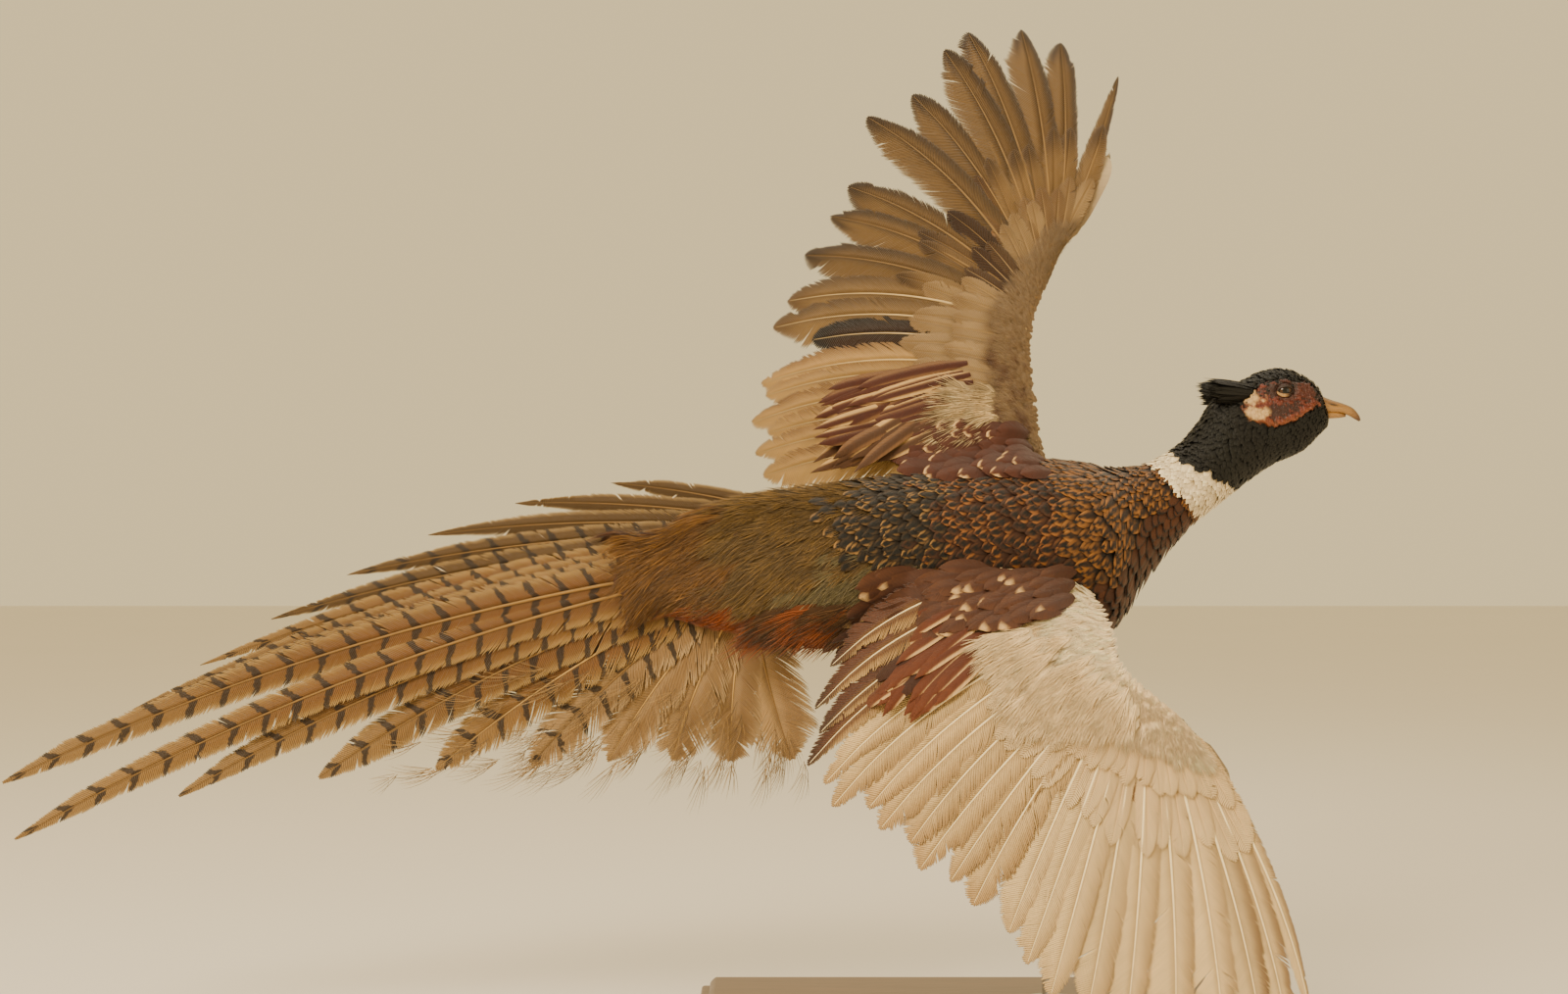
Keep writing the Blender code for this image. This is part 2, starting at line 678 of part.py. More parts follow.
def rod_hole(cutters):
    """The socket in the trunk, a little wider and deeper than the rod."""
    bm = bmesh.new()
    low, high = ROD_TOP - 0.10, ROD_TOP + 2 * GAP
    size = {"radius1": ROD_RADIUS + 2 * GAP, "radius2": ROD_RADIUS + 2 * GAP, "depth": high - low}
    bmesh.ops.create_cone(bm, cap_ends=True, segments=24, **size)
    bmesh.ops.translate(bm, verts=bm.verts, vec=(*ROD_AT, (low + high) / 2))
    obj = add_mesh("rod_hole_cutter", bm, cutters, "stand_steel")
    return as_cutter(obj, cutters)


def make_pheasant():
    clear_scene()
    parts = new_collection("pheasant")
    cutters = new_collection("cutters")

    cut_half = 0.018        # in stations, which are about 15 mm apart along the neck
    trunk = body_piece("trunk", 0.0, NECK_AT - cut_half, 18, parts, "plumage_back")
    neck = body_piece("neck", NECK_AT + cut_half, HEAD_AT - cut_half, 6, parts, "plumage_neck")
    head = body_piece("head", HEAD_AT + cut_half, len(BODY_LINE) - 1, 12, parts, "plumage_neck")
    trunk_cutter = inflated(trunk, 2 * GAP, cutters)
    head_cutter = inflated(head, 2 * GAP, cutters)
    neck_cutter = inflated(neck, 2 * GAP, cutters)

    for piece in make_wing("wing_left") + make_wing("wing_right") + make_tail():
        cut(piece, trunk_cutter)
    for name, side in (("leg_left", 1), ("leg_right", -1)):
        cut(make_leg(name, side, parts, cutters), trunk_cutter)
    for name, side in (("eye_right", -1), ("eye_left", 1)):
        eye = make_eye(name, side, parts)
        cut(head, inflated(eye, GAP, cutters))
    for name, side in (("ear_tuft_right", -1), ("ear_tuft_left", 1)):
        tuft = make_ear_tuft(name, side, parts)
        cut(tuft, head_cutter)
        cut(tuft, neck_cutter)
    for piece in make_bill(parts):
        cut(piece, head_cutter)
    make_stand(parts)
    cut(trunk, rod_hole(cutters))


make_pheasant()
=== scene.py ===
import math

import bpy
import numpy as np
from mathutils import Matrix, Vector
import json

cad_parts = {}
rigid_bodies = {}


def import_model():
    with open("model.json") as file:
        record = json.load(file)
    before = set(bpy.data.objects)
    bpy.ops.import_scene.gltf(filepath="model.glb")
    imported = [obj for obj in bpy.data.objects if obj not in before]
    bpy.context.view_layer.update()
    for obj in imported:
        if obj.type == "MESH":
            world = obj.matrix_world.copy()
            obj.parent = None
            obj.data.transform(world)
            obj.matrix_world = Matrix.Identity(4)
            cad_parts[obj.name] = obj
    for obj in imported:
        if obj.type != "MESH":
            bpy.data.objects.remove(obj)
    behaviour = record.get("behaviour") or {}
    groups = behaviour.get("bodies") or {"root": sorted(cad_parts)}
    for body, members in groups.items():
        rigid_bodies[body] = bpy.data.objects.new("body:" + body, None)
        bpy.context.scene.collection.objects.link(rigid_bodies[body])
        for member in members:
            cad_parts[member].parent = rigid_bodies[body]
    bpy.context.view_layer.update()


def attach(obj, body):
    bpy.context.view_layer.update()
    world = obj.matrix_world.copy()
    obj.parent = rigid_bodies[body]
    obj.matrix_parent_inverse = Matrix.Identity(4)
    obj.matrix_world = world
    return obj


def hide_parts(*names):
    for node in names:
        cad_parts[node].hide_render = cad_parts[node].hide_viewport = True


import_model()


# curves, colours and meshes that every piece uses

def curveAt(points, share):
    # Catmull-Rom curve through the points; share may run a little past its ends
    points = np.asarray(points, float)
    spans = len(points) - 1
    at = np.clip(np.asarray(share, float), -0.05, 1.05) * spans
    i = np.clip(at.astype(int), 0, spans - 1)
    f = (at - i)[..., None]
    p1, p2 = points[i], points[i + 1]
    p0 = np.where((i > 0)[..., None], points[np.maximum(i - 1, 0)], 2 * p1 - p2)
    p3 = np.where((i + 2 <= spans)[..., None], points[np.minimum(i + 2, spans)], 2 * p2 - p1)
    square = 2 * p0 - 5 * p1 + 4 * p2 - p3
    cube = 3 * p1 - p0 - 3 * p2 + p3
    return 0.5 * (2 * p1 + (p2 - p0) * f + square * f ** 2 + cube * f ** 3)


def unit(vectors):
    return vectors / np.maximum(np.linalg.norm(vectors, axis=-1, keepdims=True), 1e-12)


def smoothStep(low, high, value):
    t = np.clip((value - low) / (high - low), 0.0, 1.0)
    return t * t * (3 - 2 * t)


def shade(red, green, blue):
    # a colour as a painter names it, 0 to 255, turned to linear light
    value = np.array([red, green, blue]) / 255
    return np.where(value <= 0.04045, value / 12.92, ((value + 0.055) / 1.055) ** 2.4)


def deepen(colours):
    # soft light and fine shadow wash colours out, so all of them are painted a little deeper
    grey = (colours @ np.array([0.25, 0.65, 0.10]))[..., None]
    return np.clip(grey + (colours - grey) * 1.05, 0.001, 1) ** 1.28


def fill(colour, *size):
    return np.broadcast_to(colour, (*size, 3)).copy()


def blendIn(colours, other, mask):
    return colours + (other - colours) * mask[..., None]


def waves(places, scale, seed):
    # a smooth cheap noise from -1 to 1 at points in space
    turn = np.random.default_rng(seed)
    total = np.zeros(places.shape[:-1])
    for octave in range(4):
        ways = unit(turn.normal(size=(3, 3))) * (2 ** octave) / scale
        phase = turn.uniform(0, 2 * math.pi, 3)
        total += np.prod(np.sin(places @ ways.T + phase), axis=-1) * 1.6 / (1 + 0.6 * octave)
    return np.clip(total, -1, 1)


def makePiece(name, material, slot, arrays, *nodes):
    # arrays are vertices, triangles and colours, then vane and bar phase where there are any, and the map
    verts, tris, colours, *feathery, bake = arrays
    mesh = bpy.data.meshes.new(name)
    mesh.vertices.add(len(verts))
    mesh.vertices.foreach_set("co", verts.astype(np.float32).ravel())
    mesh.loops.add(tris.size)
    mesh.loops.foreach_set("vertex_index", tris.astype(np.int32).ravel())
    mesh.polygons.add(len(tris))
    mesh.polygons.foreach_set("loop_start", np.arange(0, tris.size, 3, dtype=np.int32))
    mesh.update(calc_edges=True)
    mesh.shade_smooth()
    rgba = np.ones((len(verts), 4))
    rgba[:, :3] = deepen(colours)
    layers = (("plume", "FLOAT_COLOR", "color"), ("vane", "FLOAT_VECTOR", "vector"),
              ("barPhase", "FLOAT", "value"))
    for (label, kind, field), values in zip(layers, [rgba, *feathery]):
        layer = mesh.attributes.new(label, kind, "POINT")
        layer.data.foreach_set(field, values.astype(np.float32).ravel())
    mesh.uv_layers.new(name="OFBake").data.foreach_set("uv", bake[tris.ravel()].astype(np.float32).ravel())
    mesh.validate()
    piece = bpy.data.objects.new(name, mesh)
    bpy.context.scene.collection.objects.link(piece)
    mesh.materials.append(material)
    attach(piece, "root")
    if nodes:
        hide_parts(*nodes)


def gridTris(rows, columns, closed=False):
    # triangles of a grid of points, row after row; closed joins the last column to the first
    r = np.arange(rows - 1)[:, None]
    c = np.arange(columns if closed else columns - 1)[None, :]
    d = (c + 1) % columns
    a, b = r * columns + c, r * columns + d
    e, f = (r + 1) * columns + c, (r + 1) * columns + d
    first = np.stack([a, b, f], -1).reshape(-1, 3)
    second = np.stack([a, f, e], -1).reshape(-1, 3)
    return np.concatenate([first, second])


def fanTris(ring, centre, flip=False):
    nextOne = np.roll(ring, -1)
    middle = np.full(len(ring), centre)
    return np.stack([nextOne, ring, middle] if flip else [ring, nextOne, middle], -1)


def turnsOf(sides):
    return np.linspace(0, 2 * math.pi, sides, endpoint=False)


def endMiddles(verts):
    return np.stack([verts[0].mean(0), verts[-1].mean(0)])


def bakeSpread(first, second):
    # shares from 0 to 1 as places on the bake map, a little inside its border
    return 0.05 + 0.9 * np.stack([first, second], -1)


def tubeTris(rows, columns):
    # a closed tube of rings, with a fan at each end to two more points
    ring, count = np.arange(columns), rows * columns
    return np.concatenate([gridTris(rows, columns, closed=True), fanTris(ring, count, flip=True),
                           fanTris(ring + count - columns, count + 1)])


def joinParts(parts):
    # several (verts, tris, more per-vertex arrays ...) as one
    verts, tris, start = [], [], 0
    for part in parts:
        verts.append(part[0])
        tris.append(part[1] + start)
        start += len(part[0])
    rest = [np.concatenate([part[i] for part in parts]) for i in range(2, len(parts[0]))]
    return [np.concatenate(verts), np.concatenate(tris), *rest]


# shader nodes, groups and materials

def setInputs(tree, node, inputs):
    # each input takes a value or another node's output
    for label, value in inputs.items():
        if isinstance(value, bpy.types.NodeSocket):
            tree.links.new(value, node.inputs[label])
        else:
            node.inputs[label].default_value = value


def addNode(tree, kind, inputs, **settings):
    node = tree.nodes.new("ShaderNode" + kind)
    for label, value in settings.items():
        setattr(node, label, value)
    setInputs(tree, node, inputs)
    return node


def addMath(tree, operation, *values):
    return addNode(tree, "Math", dict(enumerate(values)), operation=operation).outputs[0]


def mathOf(tree):
    # the sums that the trees below use most: times, plus, less and size
    return [lambda *values, way=way: addMath(tree, way, *values)
            for way in ("MULTIPLY", "ADD", "SUBTRACT", "ABSOLUTE")]


def addMix(tree, mask, first, second):
    return addNode(tree, "Mix", {0: mask, 6: first, 7: second}, data_type="RGBA").outputs[2]


def addNoise(tree, vector, scale, detail=3.0, roughness=0.6, distortion=0.0):
    return addNode(tree, "TexNoise", {
        "Vector": vector, "Scale": scale, "Detail": detail, "Roughness": roughness,
        "Distortion": distortion}).outputs["Fac"]


def addRamp(tree, value, low, high):
    return addNode(tree, "MapRange", {"Value": value, "From Min": low, "From Max": high},
                   interpolation_type="SMOOTHSTEP").outputs["Result"]


def addPoint(tree, *values):
    return addNode(tree, "CombineXYZ", dict(enumerate(values))).outputs[0]


def objectPlace(tree, stretch=None):
    # places in the frame, stretched where a grain runs one way
    place = addNode(tree, "TexCoord", {}).outputs["Object"]
    return addNode(tree, "Mapping", {"Vector": place, "Scale": stretch}).outputs[0] if stretch else place


def readAttribute(tree, name, output="Color"):
    return addNode(tree, "Attribute", {}, attribute_name=name).outputs[output]


def addBump(tree, shader, height, distance):
    bump = addNode(tree, "Bump", {"Distance": distance, "Strength": 1.0, "Height": height})
    tree.links.new(bump.outputs[0], shader.inputs["Normal"])


def newMaterial(name, inputs):
    material = bpy.data.materials.new(name)
    material.use_nodes = True
    shader = material.node_tree.nodes["Principled BSDF"]
    setInputs(material.node_tree, shader, inputs)
    return material, material.node_tree, shader


def darken(tree, shader, mask, strength, dark, colour=None):
    colour = colour or readAttribute(tree, "plume")
    mixed = addMix(tree, addMath(tree, "MULTIPLY", mask, strength), colour, (*dark, 1.0))
    setInputs(tree, shader, {"Base Color": mixed})


def newGroup(name, inputs, outputs):
    group = bpy.data.node_groups.new(name, "ShaderNodeTree")
    for label, kind, value in inputs:
        socket = group.interface.new_socket(label, in_out="INPUT", socket_type="NodeSocket" + kind)
        if value is not None:
            socket.default_value = value
    for label, kind in outputs:
        group.interface.new_socket(label, in_out="OUTPUT", socket_type="NodeSocket" + kind)
    return group, group.nodes.new("NodeGroupInput").outputs, group.nodes.new("NodeGroupOutput")


def makeBarbStreaks():
    # fine barbs slanting from the shaft to the edge: vane holds share across, metres along, and a number
    # of the feather's own
    group, given, leave = newGroup("barbStreaks", [
        ("Colour", "Color", None), ("Vane", "Vector", None), ("Density", "Float", 900.0),
        ("Slant", "Float", 0.02), ("Strength", "Float", 0.25), ("Mottle", "Float", 0.15)],
        [("Colour", "Color"), ("Height", "Float")])
    times, plus, less, size = mathOf(group)
    across, along, own = addNode(group, "SeparateXYZ", {0: given["Vane"]}).outputs
    lane = times(less(along, times(size(across), given["Slant"])), given["Density"])
    streak = addNoise(group, addPoint(group, lane, times(across, 0.9), times(own, 37.0)), 1.0, 2.0, 0.65)
    mottle = addNoise(group, addPoint(group, times(lane, 0.09), times(across, 0.8), times(own, 11.0)), 1.0)
    fine = times(less(streak, 0.5), given["Strength"])
    broad = times(less(mottle, 0.5), given["Mottle"])
    factor = plus(plus(times(fine, 2.0), 1.0), times(broad, 2.0))
    scaled = addNode(group, "VectorMath", {0: given["Colour"], "Scale": factor}, operation="SCALE")
    setInputs(group, leave, {"Colour": scaled.outputs[0], "Height": streak})
    return group


def makeFeatherBars():
    # dark bars across a feather, one at each whole number of barPhase, bent back towards the edges
    group, given, leave = newGroup("featherBars", [
        ("Colour", "Color", None), ("Bar", "Color", None), ("Vane", "Vector", None), ("Phase", "Float", 0.0),
        ("Width", "Float", 0.3), ("Bend", "Float", 0.35), ("Strength", "Float", 1.0)], [("Colour", "Color")])
    times, plus, less, size = mathOf(group)
    across, along, own = addNode(group, "SeparateXYZ", {0: given["Vane"]}).outputs
    place = addPoint(group, times(along, 260.0), times(across, 2.5), times(own, 19.0))
    wobble = times(less(addNoise(group, place, 1.0), 0.5), 0.35)
    phase = plus(less(given["Phase"], times(size(across), given["Bend"])), wobble)
    ripple = size(less(addMath(group, "FRACT", phase), 0.5))
    edge = times(times(given["Width"], 0.5), less(1.0, times(size(across), 0.5)))
    soft = less(1.0, addRamp(group, addMath(group, "DIVIDE", ripple, edge), 0.75, 1.2))
    besideShaft = addRamp(group, size(across), 0.03, 0.10)
    shown = times(times(addMath(group, "MAXIMUM", soft, 0.0), besideShaft), given["Strength"])
    setInputs(group, leave, {"Colour": addMix(group, shown, given["Colour"], given["Bar"])})
    return group


barbStreaks = makeBarbStreaks()
featherBars = makeFeatherBars()


def plumageMaterial(name, roughness, density, slant, streak, mottle, relief):
    sheen, specular = sheens.get(name, usualSheen)
    material, tree, shader = newMaterial("plumage_" + name, {
        "Roughness": roughness, "Sheen Weight": sheen, "Sheen Roughness": 0.5, "Specular IOR Level": specular})
    colour, vane = readAttribute(tree, "plume"), readAttribute(tree, "vane", "Vector")
    if name == "tail":
        phase = readAttribute(tree, "barPhase", "Fac")
        colour = addNode(tree, "Group", {"Colour": colour, "Vane": vane, "Phase": phase, **tailBars},
                         node_tree=featherBars).outputs[0]
    streaks = addNode(tree, "Group", {"Colour": colour, "Vane": vane, "Density": density, "Slant": slant,
                                      "Strength": streak, "Mottle": mottle}, node_tree=barbStreaks)
    tree.links.new(streaks.outputs["Colour"], shader.inputs["Base Color"])
    addBump(tree, shader, streaks.outputs["Height"], relief)
    return material


plumageLooks = {
    # how rough, barbs in a metre and their slant, how strong the streaks and the mottling are, and the relief
    "body": (0.62, 2600, 0.004, 0.28, 0.12, 0.0003), "covert": (0.62, 1500, 0.006, 0.42, 0.22, 0.0004),
    "rump": (0.70, 1500, 0.004, 0.30, 0.15, 0.0003), "black": (0.46, 3000, 0.002, 0.30, 0.25, 0.0003),
    "wing": (0.58, 1150, 0.016, 0.16, 0.16, 0.00025), "tail": (0.58, 1150, 0.014, 0.20, 0.16, 0.00025),
}
sheens = {"black": (0.0, 0.35)}     # sheen and specular where they aren't the usual ones
usualSheen = (0.15, 0.3)
tailBars = {"Bar": (0.020, 0.011, 0.006, 1.0), "Width": 0.30, "Bend": 0.36, "Strength": 0.9}
plumage = {name: plumageMaterial(name, *look) for name, look in plumageLooks.items()}
print("materials ready")


# the body's line, its surface and its coat

bodyShape = {
    # x, y, z, pitch and roll in degrees, half width and half depth, from the tail root to the face
    "line": [
        (-0.234, 0.012, 0.289, 8, 16, 0.010, 0.008), (-0.205, 0.010, 0.296, 8, 17, 0.027, 0.020),
        (-0.175, 0.007, 0.300, 6, 18, 0.039, 0.031), (-0.140, 0.004, 0.303, 4, 20, 0.046, 0.040),
        (-0.099, 0.000, 0.306, 4, 22, 0.048, 0.046), (-0.043, 0.000, 0.311, 4, 24, 0.050, 0.051),
        (0.006, 0.000, 0.315, 2, 26, 0.053, 0.054), (0.045, 0.000, 0.314, 3, 28, 0.055, 0.056),
        (0.0740, -0.001, 0.3125, 7, 31, 0.054, 0.056), (0.0905, -0.003, 0.3260, 16, 37, 0.0400, 0.0395),
        (0.1034, -0.005, 0.3363, 26, 44, 0.0310, 0.0305), (0.1177, -0.008, 0.3462, 35, 52, 0.0248, 0.0250),
        (0.1320, -0.011, 0.3561, 44, 60, 0.0228, 0.0240), (0.1434, -0.013, 0.3653, 50, 67, 0.0217, 0.0246),
        (0.1534, -0.015, 0.3751, 49, 74, 0.0205, 0.0263), (0.1641, -0.017, 0.3861, 46, 81, 0.0190, 0.0291),
        (0.1796, -0.019, 0.3952, 44, 88, 0.0178, 0.0299), (0.1925, -0.0205, 0.4037, 39, 90, 0.0163, 0.0267),
        (0.2018, -0.0215, 0.4067, 34, 90, 0.0136, 0.0224), (0.2084, -0.022, 0.4064, 28, 90, 0.0100, 0.0159),
        (0.2114, -0.022, 0.4055, 20, 90, 0.0074, 0.0106), (0.2124, -0.022, 0.4044, 10, 90, 0.0045, 0.0053),
    ],
    # the coat runs on past the tail root, over the base of the tail
    "overTail": [
        (-0.292, 0.014, 0.270, 12, 15, 0.014, 0.006), (-0.262, 0.013, 0.279, 10, 15, 0.025, 0.011),
        (-0.234, 0.012, 0.289, 8, 16, 0.034, 0.016),
    ],
}
bodyRows = np.array(bodyShape["overTail"] + bodyShape["line"][1:])
extraStations = len(bodyShape["overTail"]) - 1      # so that station 0 is still the tail root
skinRows = np.array(bodyShape["line"])


def bodySurface(rows, first, station, theta):
    # a point of the body's outline and its outward normal; theta is 0 on the bird's right, 90 on its back
    def place(at, turn):
        row = curveAt(rows, (at - first) / (len(rows) - 1))
        pitch, roll = np.radians(row[..., 3]), np.radians(row[..., 4])
        zero = np.zeros_like(pitch)
        forward = np.stack([np.cos(pitch), zero, np.sin(pitch)], -1)
        dorsal = np.stack([zero, -np.cos(roll), np.sin(roll)], -1)
        dorsal = unit(dorsal - np.sum(dorsal * forward, -1, keepdims=True) * forward)
        right = np.cross(forward, dorsal)
        aside = right * (row[..., 5] * np.cos(turn))[..., None]
        return row[..., :3] + aside + dorsal * (row[..., 6] * np.sin(turn))[..., None]
    turn = np.radians(theta)
    point = place(station, turn)
    alongWay = place(station + 0.02, turn) - place(station - 0.02, turn)
    roundWay = place(station, turn + 0.02) - place(station, turn - 0.02)
    normal = unit(np.cross(alongWay, roundWay))
    return point, normal, alongWay / 0.04, roundWay / 0.04


def coatSurface(station, theta):
    return bodySurface(bodyRows, -extraStations, station, theta)


def skinSurface(station, theta):
    return bodySurface(skinRows, 0, station, theta)


def coatDepth(station):
    # how deep the skin lies under the tips of the coat
    stops = [-3, 0, 3, 9, 11, 13, 15, 17, 21]
    return np.interp(station, stops, [0.0015, 0.004, 0.0055, 0.005, 0.0040, 0.0030, 0.0020, 0.0015, 0.0008])


# the face, shared by the skin and the feathers round it

face = {
    "centre": (0.1845, 0.4030), "reach": (0.0240, 0.0142), "tilt": 10.0,
    "pale": (((0.1648, 0.4062), (0.0072, 0.0050)), ((0.1680, 0.3968), (0.0068, 0.0040))),
    "eye": (0.1860, 0.4107), "eyeRadius": 0.0055, "eyeApart": 0.0116, "middle": -0.0198,
}


def faceShare(places):
    # 0 in the middle of the bare face, 1 at its edge, seen from the side
    x, z = places[..., 0] - face["centre"][0], places[..., 2] - face["centre"][1]
    turn = math.radians(face["tilt"])
    across = (x * math.cos(turn) + z * math.sin(turn)) / face["reach"][0]
    up = (z * math.cos(turn) - x * math.sin(turn)) / face["reach"][1]
    ragged = 1 + 0.10 * waves(places * np.array([1, 0, 1]), 0.0030, 5)
    ragged = ragged + 0.30 * np.exp(-((x - 0.016) / 0.012) ** 2 - ((z + 0.012) / 0.007) ** 2)
    cheek = np.abs(places[..., 1] - face["middle"]) / 0.0085
    inside = np.sqrt(across ** 2 + up ** 2) * ragged
    return np.where(cheek < 1, np.maximum(inside, 2 - cheek), inside)


# the skin

skinRelief = {"wart": 0.00055, "fold": 0.0007, "rim": 0.0006, "socket": 0.0016, "brow": 0.0009,
              "pouch": 0.0008}
skinColours = {
    "body": shade(96, 62, 44), "neck": shade(38, 30, 24), "wattle": shade(112, 44, 27),
    "wattleFoldShade": shade(46, 21, 14), "wattleWartHighlight": shade(150, 84, 50), "rear": shade(218, 190, 146),
    "brow": shade(60, 34, 22), "lid": shade(206, 172, 126), "rim": shade(164, 112, 66),
    "wing": shade(150, 118, 84),
}


def skinGrid():
    # stations and angles stand closer where the face needs them
    stations = np.concatenate([np.linspace(0.0, 11.0, 90, endpoint=False),
                               np.linspace(11.0, 15.0, 40, endpoint=False),
                               np.linspace(15.0, 20.2, 150, endpoint=False), np.linspace(20.2, 21.0, 16)])
    dense = np.linspace(-44, 44, 92, endpoint=False)
    angles = np.concatenate([dense, np.linspace(44, 136, 34, endpoint=False), dense + 180,
                             np.linspace(224, 316, 34, endpoint=False)])
    return stations, angles


def makeSkinMaterial():
    material, tree, shader = newMaterial("skinAndWattle", {})
    times, plus, _, _ = mathOf(tree)
    place = objectPlace(tree)
    grain = addNoise(tree, place, 900.0, 4.0)
    darken(tree, shader, addRamp(tree, addNoise(tree, place, 420.0), 0.45, 0.75), 0.35, (0.05, 0.02, 0.012))
    setInputs(tree, shader, {"Roughness": plus(times(grain, 0.3), 0.32)})
    addBump(tree, shader, grain, 0.0004)
    return material


skinMaterial = makeSkinMaterial()


def makeSkin():
    stations, angles = skinGrid()
    station, theta = np.meshgrid(stations, angles, indexing="ij")
    places, normals, _, _ = skinSurface(station, theta)
    share = faceShare(places)
    bare = 1 - smoothStep(0.92, 1.08, share)
    depth = coatDepth(station) * (1 - bare) + 0.0002 * bare

    # wattle: small warts in rows, deeper folds between them, and a swollen rim
    flat = places * np.array([1, 0, 1])
    warts = np.abs(waves(flat, 0.00085, 11)) ** 0.8
    folds = waves(flat * np.array([1, 0, 1.6]), 0.0042, 12)
    relief = bare * (skinRelief["wart"] * (warts - 0.5) + skinRelief["fold"] * folds)
    relief += bare * skinRelief["rim"] * smoothStep(0.55, 0.85, share)

    # the eye lies in a shallow socket with a brow above it
    ex, ez = face["eye"]
    dx, dz = places[..., 0] - ex, places[..., 2] - ez
    away = np.hypot(dx, dz * 1.15)
    relief -= skinRelief["socket"] * (1 - smoothStep(0.0035, 0.0085, away))
    relief += skinRelief["brow"] * np.exp(-((dz - 0.0062) / 0.0022) ** 2 - (dx / 0.0075) ** 2)
    relief -= skinRelief["pouch"] * np.exp(-((dz + 0.0058) / 0.0016) ** 2 - (dx / 0.0065) ** 2) * bare
    verts = places + normals * (relief - depth)[..., None]

    colours = fill(skinColours["body"], *verts.shape[:-1])
    colours = blendIn(colours, skinColours["neck"], smoothStep(11.6, 12.4, station))
    # painted highlight on the raised warts, and painted shade in the folds between them
    red = blendIn(np.broadcast_to(skinColours["wattle"], verts.shape), skinColours["wattleWartHighlight"],
                  smoothStep(0.25, 0.9, warts) * 0.55)
    red = blendIn(red, skinColours["wattleFoldShade"], smoothStep(0.1, 0.8, -folds) * 0.8)
    overMiddle = places[..., 2] - face["centre"][1]
    lowRim = smoothStep(0.55, 0.95, share) * smoothStep(0.004, -0.008, overMiddle)
    red = blendIn(red, skinColours["rim"], lowRim * 0.45)
    dusk = smoothStep(0.178, 0.200, places[..., 0]) * smoothStep(-0.004, 0.008, overMiddle)
    red = blendIn(red, skinColours["brow"], dusk * 0.55)
    patchy = 0.30 * waves(flat, 0.0028, 13)
    for (x, z), (wide, high) in face["pale"]:
        apart = np.hypot((places[..., 0] - x) / wide, (places[..., 2] - z) / high)
        red = blendIn(red, skinColours["rear"], (1 - smoothStep(0.7, 1.25, apart + patchy)) * 0.92)
    # painted shade in the hollow of the socket round the eye
    around = 1 - smoothStep(0.0045, 0.0095, away)
    red = blendIn(red, skinColours["brow"], around * 0.75)
    colours = blendIn(colours, red, bare)

    rows, columns = station.shape
    count = rows * columns
    tris = [gridTris(rows, columns, closed=True)[:, ::-1]]
    ends = endMiddles(verts)
    tris.append(fanTris(np.arange(columns), count))
    tris.append(fanTris(np.arange(columns) + count - columns, count + 1, flip=True))
    bodyVerts = np.concatenate([verts.reshape(-1, 3), ends])
    bodyColours = np.concatenate([colours.reshape(-1, 3), colours[0, :1], colours[-1, :1]])
    unwrap = np.stack([theta / 360 % 1.0, station / 21.0], -1).reshape(-1, 2) * 0.6
    unwrap = np.concatenate([unwrap, [[0.3, 0.0], [0.3, 0.6]]])
    shells = [(bodyVerts, np.concatenate(tris), bodyColours, unwrap), wingFlesh("wing_left", 0.0),
              wingFlesh("wing_right", 0.5)]
    makePiece("skin", skinMaterial, "body_plumage", joinParts(shells), "trunk", "neck", "head", "wing_left_arm",
              "wing_left_hand", "wing_right_arm", "wing_right_hand")


# wings: the surface that both flesh and feathers follow

wingShapes = {
    "wing_left": {
        "lead": [(0.040, 0.000, 0.352), (0.034, 0.028, 0.413), (0.036, 0.055, 0.459), (0.058, 0.075, 0.508)],
        "secondaryTips": [(-0.137, 0.028, 0.354), (-0.140, 0.047, 0.395), (-0.133, 0.062, 0.432),
                          (-0.120, 0.078, 0.482)],
        "primaryTips": [(-0.112, 0.083, 0.503), (-0.094, 0.091, 0.532), (-0.080, 0.097, 0.556),
                        (-0.066, 0.103, 0.605), (-0.038, 0.108, 0.617), (-0.016, 0.113, 0.648),
                        (0.001, 0.117, 0.662), (0.035, 0.120, 0.665), (0.064, 0.120, 0.656),
                        (0.106, 0.115, 0.630)],
        "bow": (0.09, 0.08, 0.02), "outward": -1,
    },
    "wing_right": {
        "lead": [(0.059, -0.038, 0.292), (0.066, -0.098, 0.268), (0.070, -0.150, 0.243), (0.100, -0.160, 0.218)],
        "secondaryTips": [(-0.098, -0.062, 0.249), (-0.109, -0.085, 0.178), (-0.066, -0.104, 0.148),
                          (-0.016, -0.122, 0.108)],
        "primaryTips": [(0.006, -0.130, 0.093), (0.032, -0.142, 0.056), (0.084, -0.154, 0.039),
                        (0.142, -0.155, 0.033), (0.178, -0.150, 0.048)],
        "bow": (0.14, 0.02, -0.045), "outward": 1,
    },
}
secondaryCount = 12
primaryCount = 10
lastFeather = secondaryCount + primaryCount - 1


def wingControls(name):
    # root, middle and tip of each flight feather, innermost first
    shape = wingShapes[name]
    places = (np.arange(secondaryCount) + 0.5) / secondaryCount, np.arange(primaryCount) / (primaryCount - 1)
    lead, bow = shape["lead"], shape["bow"]
    roots = np.concatenate([curveAt(lead, places[0] * 2 / 3), curveAt(lead, (2 + places[1]) / 3)])
    tips = np.concatenate([curveAt(shape[part + "Tips"], place)
                           for part, place in zip(("secondary", "primary"), places)])
    bows = np.concatenate([bow[k] * (1 - places[k]) + bow[k + 1] * places[k] for k in (0, 1)])
    chords = tips - roots
    sideways = np.stack([chords[:, 2], 0 * bows, -chords[:, 0]], -1) * bows[:, None]
    arch = np.stack([0 * bows, -0.05 * np.linalg.norm(chords, axis=1), 0 * bows], -1)
    return np.concatenate([roots, (roots + tips) / 2 + (sideways + arch) * 2, tips], 1)


wingNets = {name: wingControls(name) for name in wingShapes}


